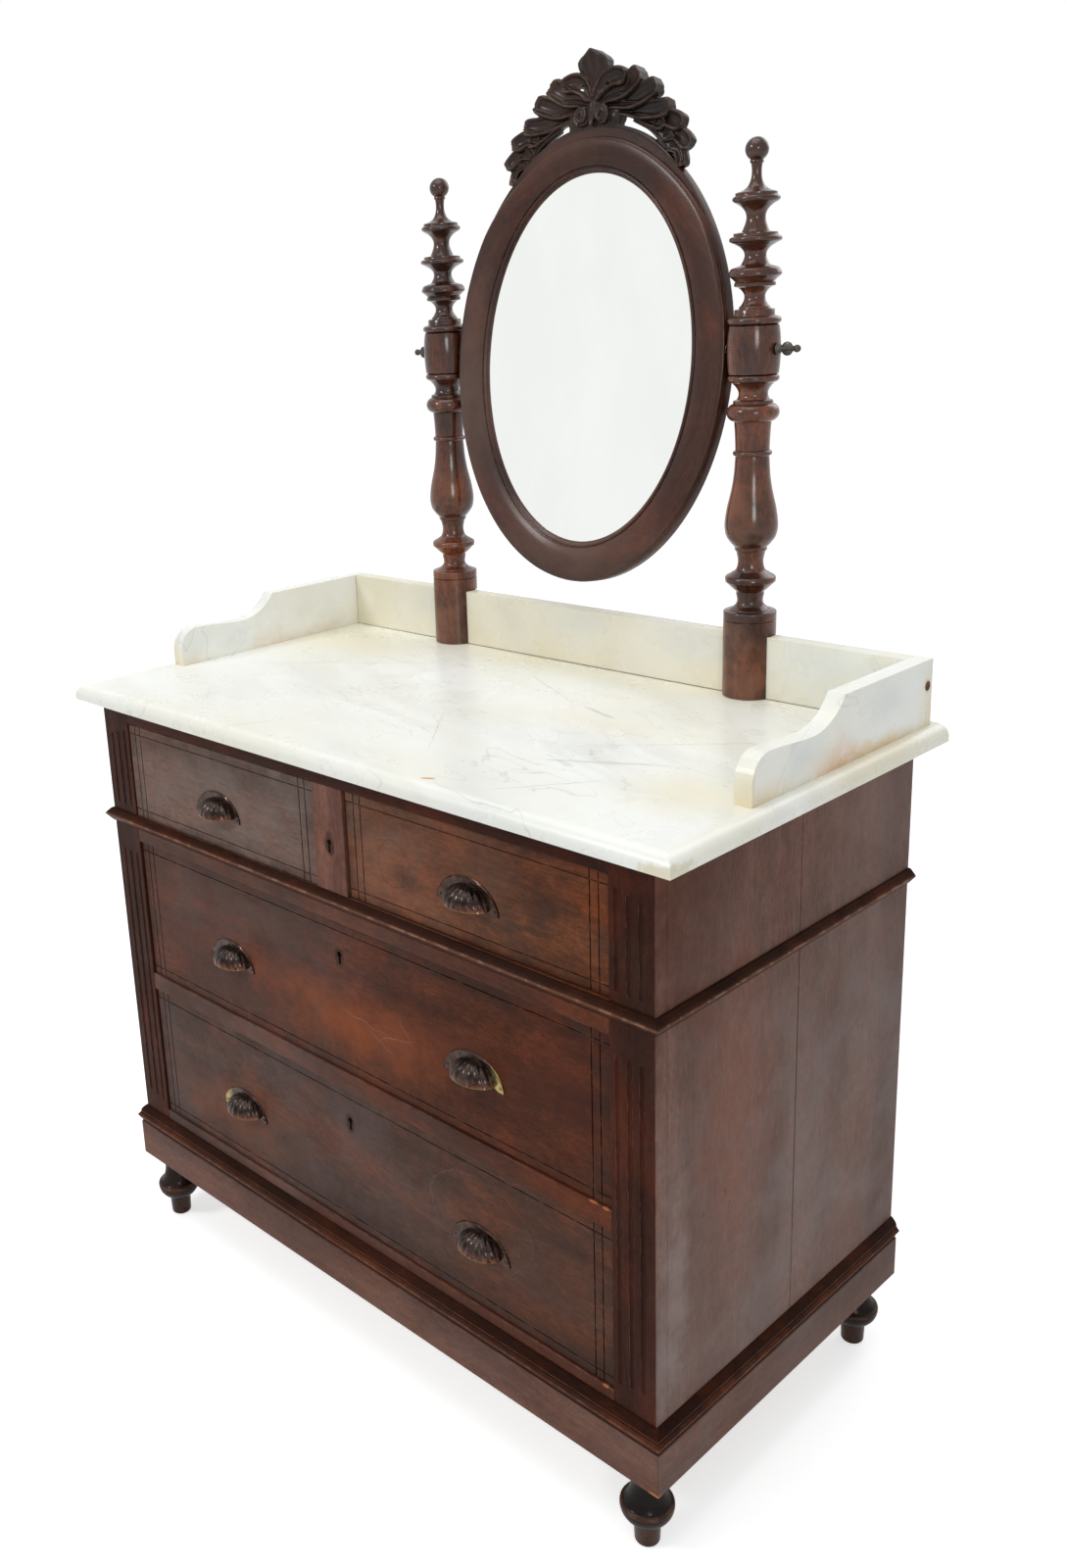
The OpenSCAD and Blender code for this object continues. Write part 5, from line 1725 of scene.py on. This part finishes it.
def along(knots: Sequence[Point2], t: float) -> Vector:
    """Place on a smooth curve through knots.

    Args:
        knots: The knots.
        t: The share of the curve, from 0 to 1.

    Returns:
        The place.
    """
    span = min(max(t, 0.0), 1.0) * (len(knots) - 1)
    i = min(int(span), len(knots) - 2)
    a, b, c, d = (Vector(knots[min(max(k, 0), len(knots) - 1)]) for k in range(i - 1, i + 3))
    u = span - i
    bend, twist = 2 * a - 5 * b + 4 * c - d, 3 * b - a - 3 * c + d
    return 0.5 * (2 * b + (c - a) * u + bend * u * u + twist * u ** 3)


@dataclass(frozen=True)
class Frond:
    """One carved band of the crest, hollowed like a spoon between two raised rims."""

    path: tuple[Point2, ...]
    width: float
    face: Point2
    hollow: float = 5.0
    rim: float = 2.0
    root: float = 0.22
    full: float = 0.7
    curl: float = 3.0
    back: float = -10.0
    steps: int = 34
    across: int = 28

    def half(self, t: float) -> float:
        """Half the width at a share of the length.

        Args:
            t: The share.

        Returns:
            The distance in millimetres.
        """
        swell = self.root + (1 - self.root) * math.sin(math.pi / 2 * min(t / self.full, 1.0))
        end = max(1 - (max(t - self.full, 0) / (1 - self.full)) ** 2.6, 0.0) ** 0.42
        return self.width / 2 * swell * max(end, 0.04)

    def height(self, t: float, s: float) -> float:
        """How far forward the face lies at share t of the length and s across, from -1 to 1.

        Args:
            t: Share of the length.
            s: Place across.

        Returns:
            The distance in millimetres.
        """
        rise = max(t - 0.72, 0) / 0.28
        level = self.face[0] + (self.face[1] - self.face[0]) * t + self.curl * rise * rise
        bowl = self.hollow * max(1 - (s / 0.74) ** 2, 0.0) ** 0.8
        bowl *= min(self.half(t) / 8, 1.0) * (1 - 0.6 * rise ** 4)
        rim = self.rim * math.exp(-(((abs(s) - 0.76) / 0.2) ** 2)) * (1.5 if s < 0 else 0.3)
        fall = 5.0 * max((abs(s) - 0.84) / 0.16, 0.0) ** 2
        return level - bowl + rim - fall

    def solid(self, side: int) -> bpy.types.Object:
        """Build the band on the right (1) or the left (-1) of the crest, upright.

        Args:
            side: 1 or -1.

        Returns:
            The band.
        """
        rings = []
        for i in range(self.steps + 1):
            t = i / self.steps
            centre = along(self.path, t)
            ahead = (along(self.path, t + 0.02) - along(self.path, t - 0.02)).normalized()
            across = Vector((-ahead.y, ahead.x)) * self.half(t)
            shares = [2 * j / self.across - 1 for j in range(self.across + 1)]
            front = [(centre + across * s, self.height(t, s)) for s in shares]
            behind = [(centre + across * s * 0.86, self.back) for s in (1, 0.33, -0.33, -1)]
            rings.append([Vector((side * p.x, -f, p.y)) * MM for p, f in front + behind])
        return tube("frond", rings)


@dataclass
class Crest:
    """The carved crest: centre leaf, fanned fronds, two volutes and trailing scrolls."""

    fronds: tuple[Frond, ...] = (
        Frond(((4, 335), (15, 350), (32, 359), (54, 356)), 27, (11, 11), hollow=6.5, root=0.35, full=0.64),
        Frond(((5, 329), (24, 337), (48, 344), (75, 360)), 30, (8.5, 8), root=0.3, full=0.86),
        Frond(((6, 325), (32, 329), (64, 329), (102, 342)), 28, (6, 6), root=0.3, full=0.88),
        Frond(((10, 321), (44, 320), (82, 313), (123, 313)), 26, (3.5, 4), root=0.35, full=0.88),
        Frond(((58, 310), (88, 301), (115, 291)), 17, (1, 3), hollow=4, full=0.8),
        Frond(
            ((64, 307), (96, 294), (122, 270), (139, 238)), 24, (0, -1),
            hollow=1.5, rim=0.8, root=0.5, curl=0.0,
        ),
        Frond(((98, 290), (116, 300), (143, 290)), 25, (1, 6), hollow=5.5, root=0.45, full=0.72),
        Frond(((112, 276), (134, 280), (154, 263)), 22, (0, 4), hollow=4.5, root=0.4, full=0.74),
        Frond(((122, 264), (138, 259), (144, 239)), 16, (1, 2), hollow=3, root=0.5),
    )
    leaf_outline: tuple[Point2, ...] = (
        (302, 0.6), (306, 3), (312, 5), (322, 6), (335, 7.5), (346, 10), (356, 14),
        (365, 20), (373, 24), (382, 24.5), (387, 19), (392, 9), (395.6, 2), (396.4, 0.6),
    )
    voxel: float = 0.85
    ring_a: float = 233.0
    ring_b: float = 300.0
    base_rise: float = 4.5
    base_reach: float = 0.62
    eye: Point2 = (25.0, 351.0)
    eye_r: float = 3.4
    eye_slant: float = 46.0
    seat: tuple[Point3, Point3] = ((-0.042, -0.0034, 0.2952), (0.042, 0.0095, 0.309))

    def leaf(self) -> bpy.types.Object:
        """The centre leaf: broad at the top, ribbed, and curling forward.

        Returns:
            The leaf, upright.
        """
        rings = []
        shares = [j / 20 - 1 for j in range(41)]
        for (v0, h0), (v1, h1) in zip(self.leaf_outline, self.leaf_outline[1:]):
            for i in range(4):
                v, half = v0 + (v1 - v0) * i / 4, h0 + (h1 - h0) * i / 4
                up = (v - 306) / 90
                level = 12 - 5 * math.sin(math.pi * min(up * 1.25, 1.0)) + 7 * max(up - 0.62, 0) ** 1.2 / 0.3
                ribs = min(half / 14, 1.0)
                reliefs = (ribs * (1.1 * math.cos(s * 3.5 * math.pi) - 2.2 * s * s) for s in shares)
                front = [(s * half, level + relief) for s, relief in zip(shares, reliefs)]
                behind = [(s * half * 0.85, -7.0) for s in (1, 0.33, -0.33, -1)]
                rings.append([Vector((u, -f, v)) * MM for u, f in front + behind])
        return tube("leaf", rings)

    def base(self) -> bpy.types.Object:
        """The low band along the top of the ring that the fronds spring from, thinning out to both ends.

        Returns:
            The band, upright.
        """
        rings = []
        for i in range(61):
            s = 2 * i / 60 - 1
            a = math.pi / 2 - self.base_reach * s
            thick = self.base_rise * (1 - s ** 4) + 0.4
            corners = ((-2.0, -7), (thick, -7), (thick, 2.5), (thick - 0.8, 3.6), (-1.0, 3.6), (-2.0, 3.2))
            rings.append([
                Vector(((self.ring_a + out) * math.cos(a), -f, (self.ring_b + out) * math.sin(a))) * MM
                for out, f in corners
            ])
        return tube("base", rings)

    def volute(self, side: int) -> list[bpy.types.Object]:
        """A scroll: a domed boss with a rope wound into its eye, and its foot on the ring.

        Args:
            side: 1 for the right and -1 for the left.

        Returns:
            Its two bosses and its rope.
        """
        pieces = []
        for u, v, r, rise in ((side * 17, 315.5, 13.0, 9.0), (side * 33, 311, 12.0, 5.0)):
            dome = Turned().to((0.2, -10), (r, -10), (r, rise - 4)).arc(r - 4, rise - 4, 4, 0, 80, 6)
            boss = lathe("boss", dome.to((0.2, rise + 2)).points, ORIGIN, 40)
            boss.data.transform(Matrix.Translation(Vector((u, 0, v)) * MM) @ FORWARD)
            pieces.append(boss)
        rings = []
        for i in range(91):
            t = i / 90
            a = math.radians(-70 + 640 * t)
            reach, thick = 11.4 - 8.6 * t, 2.9 - 1.0 * t
            rings.append([
                Vector((
                    side * (17 + (reach + thick * math.cos(b)) * math.cos(a)),
                    -(9.5 + 3.0 * t) - thick * math.sin(b),
                    315.5 + (reach + thick * math.cos(b)) * math.sin(a),
                )) * MM for b in (2 * math.pi * j / 12 for j in range(12))
            ])
        return pieces + [tube("rope", rings)]

    def build(self, placed: Matrix) -> None:
        """Join the carved forms into one piece in place of the plain crest.

        Args:
            placed: From the upright mirror to its place.
        """
        pieces = [self.leaf(), self.base()]
        for side in (1, -1):
            pieces += [frond.solid(side) for frond in self.fronds] + self.volute(side)
        pieces.append(box_object("seat", *self.seat))
        crest = joined("carved_crest", pieces)
        skin = crest.modifiers.new("skin", "REMESH")
        skin.mode, skin.voxel_size = "VOXEL", self.voxel * MM
        soft = crest.modifiers.new("soft", "SMOOTH")
        soft.factor, soft.iterations = 0.5, 2
        bake_modifiers(crest)
        holes = []
        for side in (1, -1):
            hole = lathe("hole", [(self.eye_r, -20), (self.eye_r, 20)], ORIGIN, 24)
            slant = Matrix.Rotation(math.radians(-self.eye_slant * side), 4, "Z")
            place = Matrix.Translation(Vector((side * self.eye[0], 0, self.eye[1])) * MM)
            hole.data.transform(place @ (slant @ FORWARD))
            holes.append(hole)
        combine(crest, holes, "DIFFERENCE")
        thin = crest.modifiers.new("thin", "DECIMATE")
        thin.ratio = 0.5
        bake_modifiers(crest)
        crest.data.transform(placed)
        crest.data.polygons.foreach_set("use_smooth", [True] * len(crest.data.polygons))
        cover(crest.data, CARVED.material(Grain.ALONG_Z, 2))
        stand_in(crest, "mirror", "carved_wood", "mirror_crest")


@dataclass
class WingScrew:
    """An iron screw with a collar, a rounded wing and a ball at its end."""

    side: str
    wing_r: float = 8.4
    wing_t: float = 1.7
    wing_rise: float = 13.5
    collar: float = 302.2

    def build(self) -> None:
        """Turn the shank, add the wing and put them in the place of the node."""
        node = "wing_screw_" + self.side
        low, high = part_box(node)
        pivot = joint_place("mirror_tilt")
        way = 1 if self.side == "right" else -1
        inner, outer = (low.x, high.x) if way > 0 else (-high.x, -low.x)
        inner, outer = inner / MM, outer / MM
        foot = self.collar
        shank = Turned().to((3.2, inner), (4, inner + 0.8), (4, foot + 0.4))
        shank.to((6.9, foot + 0.4), (7.5, foot + 0.9), (7.5, foot + 1.6))
        knots = ((6.6, foot + 2.2), (5.4, foot + 3.4), (4.6, foot + 5), (3.0, foot + 6.6), (2.6, foot + 9))
        shank.smooth(*knots, steps=4).to((2.6, foot + 20))
        shank.smooth((2.7, foot + 21.4), (3.3, foot + 22.2), (2.9, foot + 23), steps=3)
        shank.arc(0, outer - 4.6, 4.6, -52, 89, 14)
        piece = lathe(node + "_iron", shank.points, ORIGIN, 40)
        wing = Turned().arc(0.0, 0.0, 1.0, -89, 89, 16)
        blade = lathe("blade", wing.points, ORIGIN, 40)
        flattened = Matrix.Diagonal((self.wing_r, self.wing_t, self.wing_r, 1))
        blade.data.transform(Matrix.Translation((0, 0, (foot + self.wing_rise) * MM)) @ flattened)
        combine(piece, [blade], "UNION")
        turn = Matrix.Rotation(way * math.pi / 2, 4, "Y")
        piece.data.transform(Matrix.Translation((0, pivot.y, pivot.z)) @ turn)
        crease(piece)
        cover(piece.data, IRON.material())
        stand_in(piece, "wing_" + self.side, "iron", node)


# ------------ drawers


@dataclass
class CupPull:
    """A shell-ribbed cup on a crescent plate, held by two nails."""

    plate_a: float = 48.0
    plate_b: float = 37.0
    plate_t: float = 1.5
    cup_a: float = 34.0
    cup_r: float = 24.0
    cup_t: float = 2.0
    rim: float = 4.0
    ribs: int = 20
    rib_depth: float = 1.9
    nail_x: float = 42.8

    def plate(self) -> bpy.types.Object:
        """The back plate with a fine raised line along its edge, about the middle of its foot.

        Returns:
            The plate.
        """
        across, up = 72, 16
        points = []
        for front in (True, False):
            for i in range(across + 1):
                a = math.pi * i / across
                x, top = self.plate_a * math.cos(a), self.plate_b * math.sin(a)
                tip = abs(x) >= self.plate_a - 6
                foot = 0.0 if tip else max(self.rim * (1 - max(abs(x) - self.cup_a + 2, 0) / 8), 0.0)
                foot = min(foot, top)
                for j in range(up + 1):
                    t = j / up
                    line, fall = 0.5 * math.exp(-((t - 0.93) / 0.035) ** 2), 0.9 * max(t - 0.965, 0) / 0.035
                    raised = self.plate_t + line - fall if front else 0.0
                    points.append(Vector((x, -raised, foot + (top - foot) * t)) * MM)
        return mesh_object("plate", points, shell_faces(across, up))

    def cup(self) -> bpy.types.Object:
        """The hollow cup, ribbed like a shell outside, open below.

        Returns:
            The cup.
        """
        across, up = 120, 28
        points = []
        for outside in (True, False):
            for i in range(across + 1):
                a = math.pi * i / across
                for j in range(up + 1):
                    b = math.pi / 2 * j / up
                    size = 1.0 if outside else (self.cup_r - self.cup_t) / self.cup_r
                    x = (self.cup_a if outside else self.cup_a - self.cup_t) * math.cos(a)
                    r = self.cup_r * size * math.sin(a)
                    if outside:
                        fan = math.atan2(x, r * (math.pi / 2 - b) + 9)
                        groove = abs(math.cos(fan * self.ribs / 2)) ** 0.6 - 1
                        near_rim = min(b / 0.16, 1.0)
                        flat = math.sin(min(math.pi / 2 - b + 0.12, math.pi / 2))
                        r += self.rib_depth * groove * min(r / 14, 1.0) * near_rim * flat
                    points.append(Vector((x, -r * math.cos(b), self.rim + r * math.sin(b))) * MM)
        return mesh_object("cup", points, shell_faces(across, up))

    def nail(self, x: float) -> bpy.types.Object:
        """The round head of the nail through one tip of the plate.

        Args:
            x: How far to the side it sits, in millimetres.

        Returns:
            The nail's head.
        """
        head = Turned().to((1.9, 0.2), (1.9, 1.7)).arc(0, 1.1, 2.0, 18, 88, 6)
        made = lathe("nail", head.points, ORIGIN, 20)
        made.data.transform(Matrix.Translation(Vector((x, 0, 5.2)) * MM) @ FORWARD)
        return made

    def build(self, node: str, body: str, bare_tips: Sequence[float] = ()) -> None:
        """Make every pull of a node in its place.

        Args:
            node: Name of the node.
            body: The drawer that carries it.
            bare_tips: Where along X, in metres, a tip of a plate is worn to bare brass.
        """
        low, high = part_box(node)
        half = self.plate_a * MM
        centres = [low.x + half] if high.x - low.x < 3 * half else [low.x + half, high.x - half]
        parts = []
        for x in centres:
            for part in (self.plate(), self.cup(), self.nail(-self.nail_x), self.nail(self.nail_x)):
                part.data.transform(Matrix.Translation((x, high.y, low.z)))
                parts.append(part)
        piece = joined("shell_" + node, parts)
        crease(piece, 50)

        def bare(p: Vector) -> float:
            """How bare the brass is: the cup's rim and, on some pulls, a tip of the plate.

            Args:
                p: The place, in metres.

            Returns:
                The share, from 0 to 1.
            """
            up, out = (p.z - low.z) / MM, (high.y - p.y) / MM
            if out > 3 and abs(up - self.rim) < 0.5:
                return 0.4
            near = max((1.4 - abs(p.x - x) / MM / 11 for x in bare_tips), default=0.0)
            return min(max(near, 0.0), 0.85) if out < 3 else 0.0

        def warm(p: Vector) -> float:
            """How much painted reddish highlight a place takes: most at the cup's rim, faint on the plate."""
            return max(1 - (p.z - low.z) / MM / 13, 0.0) if high.y - p.y > 0.003 else 0.15

        paint(piece, "rubbed", bare)
        paint(piece, "warm", warm)
        cover(piece.data, PULL_BRASS.material())
        stand_in(piece, body, "pull_brass", node)


@dataclass
class Drawer:
    """One drawer: front, box, bottom, pulls and lock."""

    name: str
    pulls: str
    face: Timber
    locked: bool = False
    log: int = 0
    bare_tips: tuple[float, ...] = ()

    def build(self) -> None:
        """Dress the drawer's boards and make its pulls."""
        dress_boards(f"front_{self.name}", self.face, self.log)
        dress_boards(f"box_{self.name}", PINE, self.log)
        dress_boards(f"bottom_{self.name}", PINE, self.log + 1)
        CupPull().build(self.pulls, f"drawer_{self.name}", self.bare_tips)
        if self.locked:
            dress(f"lock_{self.name}", LOCK_IRON.material())
            dress(f"bolt_{self.name}", IRON.material())
        LOG.info("drawer %s built", self.name)


def front_finish(name: str, centre: Point2, half: Point2, **looks: object) -> Timber:
    """Finish of one drawer front.

    Args:
        name: Name of the drawer.
        centre: Middle of the front, across and up, in metres.
        half: Half its width and height.
        **looks: What differs from plain mahogany.

    Returns:
        The finish.
    """
    # A darker band round the front: handling marks together with painted shade.
    border = Border((centre[0], 0.0, centre[1]), half)
    return replace(MAHOGANY, name="face_" + name, border=border, contrast=0.65, **looks)


SCRATCH = srgb(156, 132, 120)
SOOT = srgb(26, 16, 14)
# Each front has painted sheen in its polish, on most of them fading from the left towards the right.
FACES = {
    "upper_left": front_finish(
        "upper_left", (-0.231, 0.762), (0.205, 0.0705), dark=srgb(78, 52, 41), light=srgb(116, 86, 72),
        bloom=srgb(122, 114, 110), bloom_share=0.55, bloom_even=0.35, glow_share=0.3, smudge_share=0.5,
    ),
    "upper_right": front_finish(
        "upper_right", (0.231, 0.762), (0.205, 0.0705), dark=srgb(80, 42, 23), light=srgb(120, 74, 48),
        bloom=srgb(130, 106, 92), bloom_share=0.6, bloom_fade=Fade((0.05, 0, 0.7), (0.42, 0, 0.7)),
        glow_share=0.6, smudge_share=0.5, marks=(
            Mark(
                (0.112, -0.2614, 0.757), (0.026, 0.02, 0.031), srgb(30, 18, 15), 0.3, ring=0.05, wobble=0.012
            ),
            patch((0.14, -0.2614, 0.745), (0.05, 0.1, 0.03), srgb(56, 44, 42), 0.7, ragged=1.0),
            patch((0.34, -0.2614, 0.75), (0.035, 0.1, 0.06), srgb(46, 36, 34), 0.7, 0.5, 1.2),
            patch((0.30, -0.2614, 0.735), (0.035, 0.1, 0.05), srgb(50, 38, 36), 0.6, -0.4, 1.2),
        ),
    ),
    "middle": front_finish(
        "middle", (0.0, 0.5455), (0.436, 0.1065), dark=srgb(52, 24, 12), light=srgb(86, 44, 25),
        bloom=srgb(88, 76, 72), bloom_share=0.62, bloom_fade=Fade((-0.12, 0, 0.6), (0.2, 0, 0.52)),
        bloom_even=0.35, glow=srgb(128, 62, 34), glow_share=0.35, smudge_share=0.35, marks=(
            patch((0.02, -0.2624, 0.51), (0.26, 0.1, 0.075), srgb(142, 74, 38), 0.75, 0.06),
            patch((0.2, -0.2624, 0.545), (0.2, 0.1, 0.06), srgb(108, 54, 30), 0.6),
            patch((0.38, -0.2624, 0.56), (0.12, 0.1, 0.12), srgb(72, 36, 24), 0.5),
            Mark((0.04, -0.2624, 0.525), (0.05, 0.01, 0.0007), SCRATCH, 0.35, (0, 0.14, 0), 0, 0.012),
            Mark((0.10, -0.2624, 0.520), (0.045, 0.01, 0.0007), SCRATCH, 0.35, (0, -0.3, 0), 0, 0.012),
            Mark((0.07, -0.2624, 0.508), (0.03, 0.01, 0.0007), SCRATCH, 0.3, (0, 0.5, 0), 0, 0.012),
            Mark((0.12, -0.2624, 0.535), (0.025, 0.01, 0.0006), SCRATCH, 0.3, (0, 0.9, 0), 0, 0.012),
            Mark((0.0, -0.2624, 0.602), (0.010, 0.01, 0.017), SOOT, 0.6),
        ),
    ),
    "lower": front_finish(
        "lower", (0.0, 0.309), (0.436, 0.104), dark=srgb(56, 33, 23), light=srgb(88, 58, 44),
        bloom=srgb(98, 88, 86), bloom_share=0.48, bloom_fade=Fade((-0.1, 0, 0.35), (0.5, 0, 0.3)),
        bloom_even=0.25, glow_share=0.4, smudge_share=0.4, marks=(
            Mark(
                (0.234, -0.2629, 0.325), (0.085, 0.02, 0.06), srgb(130, 112, 104), 0.2, ring=0.02, wobble=0.02
            ),
            patch((-0.25, -0.2629, 0.27), (0.24, 0.1, 0.08), srgb(116, 68, 44), 0.6),
            patch((0.33, -0.2629, 0.3), (0.2, 0.1, 0.16), srgb(68, 48, 40), 0.6),
            Mark((0.0, -0.2629, 0.362), (0.010, 0.01, 0.017), SOOT, 0.6),
        ),
    ),
}


# ------------ studio


@dataclass
class Studio:
    """Camera, floor, lamps and the white room round the object."""

    eye: Point3 = (1.3023, -1.3258, 1.4032)
    azimuth: float = 46.8102
    elevation: float = 15.9983
    roll: float = -2.8388
    lens: float = 33.13
    shift: Point2 = (0.0730, -0.0470)
    room_light: float = 0.45

    def camera(self) -> None:
        """Set the camera where the photographer stood."""
        data = bpy.data.cameras.new("camera")
        data.lens = self.lens
        data.sensor_width = 36.0
        data.shift_x, data.shift_y = self.shift
        a, e, r = (math.radians(v) for v in (self.azimuth, self.elevation, self.roll))
        ahead = Vector((-math.sin(a) * math.cos(e), math.cos(a) * math.cos(e), -math.sin(e)))
        right = Vector((math.cos(a), math.sin(a), 0))
        up = right.cross(ahead)
        turned = (math.cos(r) * right + math.sin(r) * up, -math.sin(r) * right + math.cos(r) * up, -ahead)
        made = bpy.data.objects.new("camera", data)
        made.matrix_world = Matrix.Translation(self.eye) @ Matrix(turned).transposed().to_4x4()
        bpy.context.scene.collection.objects.link(made)
        bpy.context.scene.camera = made

    def world(self) -> None:
        """A soft room that shows white behind the object and in its reflections."""
        world = bpy.data.worlds.new("room")
        bpy.context.scene.world = world
        world.use_nodes = True
        tree = world.node_tree
        tree.nodes.clear()
        path = tree.nodes.new("ShaderNodeLightPath")
        seen = path.outputs["Is Camera Ray"]
        for name in ("Is Glossy Ray", "Is Transmission Ray"):
            both = tree.nodes.new("ShaderNodeMath")
            both.operation = "MAXIMUM"
            tree.links.new(seen, both.inputs[0])
            tree.links.new(path.outputs[name], both.inputs[1])
            seen = both.outputs[0]
        kinds = ("Background", "Background", "MixShader")
        room, white, mixed = (tree.nodes.new("ShaderNode" + kind) for kind in kinds)
        room.inputs["Color"].default_value = (0.93, 0.96, 1.0, 1)
        room.inputs["Strength"].default_value = self.room_light
        white.inputs["Color"].default_value = (1, 1, 1, 1)
        output = tree.nodes.new("ShaderNodeOutputWorld")
        tree.links.new(seen, mixed.inputs[0])
        tree.links.new(room.outputs[0], mixed.inputs[1])
        tree.links.new(white.outputs[0], mixed.inputs[2])
        tree.links.new(mixed.outputs[0], output.inputs[0])

    def lamp(
        self, name: str, place: Sequence[float], aim: Sequence[float], size: float, watts: float
    ) -> None:
        """Hang one square soft lamp.

        Args:
            name: Name of the lamp.
            place: Where it hangs.
            aim: The point that it faces.
            size: Length of its sides in metres.
            watts: Its power.
        """
        data = bpy.data.lights.new(name, "AREA")
        data.size = size
        data.energy = watts
        made = bpy.data.objects.new(name, data)
        made.location = place
        made.rotation_euler = (Vector(aim) - Vector(place)).to_track_quat("-Z", "Y").to_euler()
        bpy.context.scene.collection.objects.link(made)

    def floor(self) -> None:
        """Lay a white floor that keeps the shadow."""
        reach = 12.0
        corners = [(-reach, -reach, 0), (reach, -reach, 0), (reach, reach, 0), (-reach, reach, 0)]
        piece = mesh_object("floor", corners, [(0, 1, 2, 3)])
        web = NodeWeb("pale_floor")
        path = web.node("LightPath")
        seen = web.math("MAXIMUM", path.outputs["Is Camera Ray"], path.outputs["Is Glossy Ray"])
        matt = web.node("BsdfDiffuse", {"Color": (0.8, 0.8, 0.79)})
        away = web.vector("LENGTH", web.spot()).outputs["Value"]
        strength = web.times(seen, web.ramp(away, 1.0, 4.0, 0.58, 0.74))
        glow = web.node("Emission", {"Color": (1, 1, 1), "Strength": strength})
        both = web.node("AddShader", {0: matt.outputs[0], 1: glow.outputs[0]})
        output = web.node("OutputMaterial")
        web.tree.links.new(both.outputs[0], output.inputs["Surface"])
        piece.data.materials.append(web.material)

    def build(self) -> None:
        """Set up everything round the object."""
        self.camera()
        self.world()
        self.floor()
        self.lamp("key", (-1.6, -3.2, 3.2), (0, 0, 0.8), 0.9, 54)
        self.lamp("top", (0.0, -0.6, 4.2), (0, 0, 0.8), 2.6, 50)
        self.lamp("window", (2.9, -2.3, 1.9), (0, 0, 0.9), 0.9, 26)
        self.lamp("back", (0.5, 3.2, 3.0), (0, 0, 1.0), 2.2, 28)
        bpy.context.scene.view_settings.view_transform = "Standard"
        LOG.info("studio ready")


def main() -> None:
    """Build every sub-assembly in order."""
    logging.basicConfig(level=logging.INFO, format="%(name)s: %(message)s")
    Studio().build()
    MarbleWork().build()
    Carcase().build()
    for corner in ("front_left", "front_right", "back_left", "back_right"):
        Foot("foot_" + corner).build()
    for side in ("left", "right"):
        Post("post_" + side).build()
    Mirror().build()
    for side in ("left", "right"):
        WingScrew(side).build()
    Drawer("upper_left", "pull_upper_left", FACES["upper_left"], log=0).build()
    Drawer("upper_right", "pull_upper_right", FACES["upper_right"], log=1).build()
    Drawer("middle", "pulls_middle", FACES["middle"], locked=True, log=2, bare_tips=(0.277,)).build()
    Drawer("lower", "pulls_lower", FACES["lower"], locked=True, log=3, bare_tips=(-0.277,)).build()


if __name__ == "__main__":
    main()
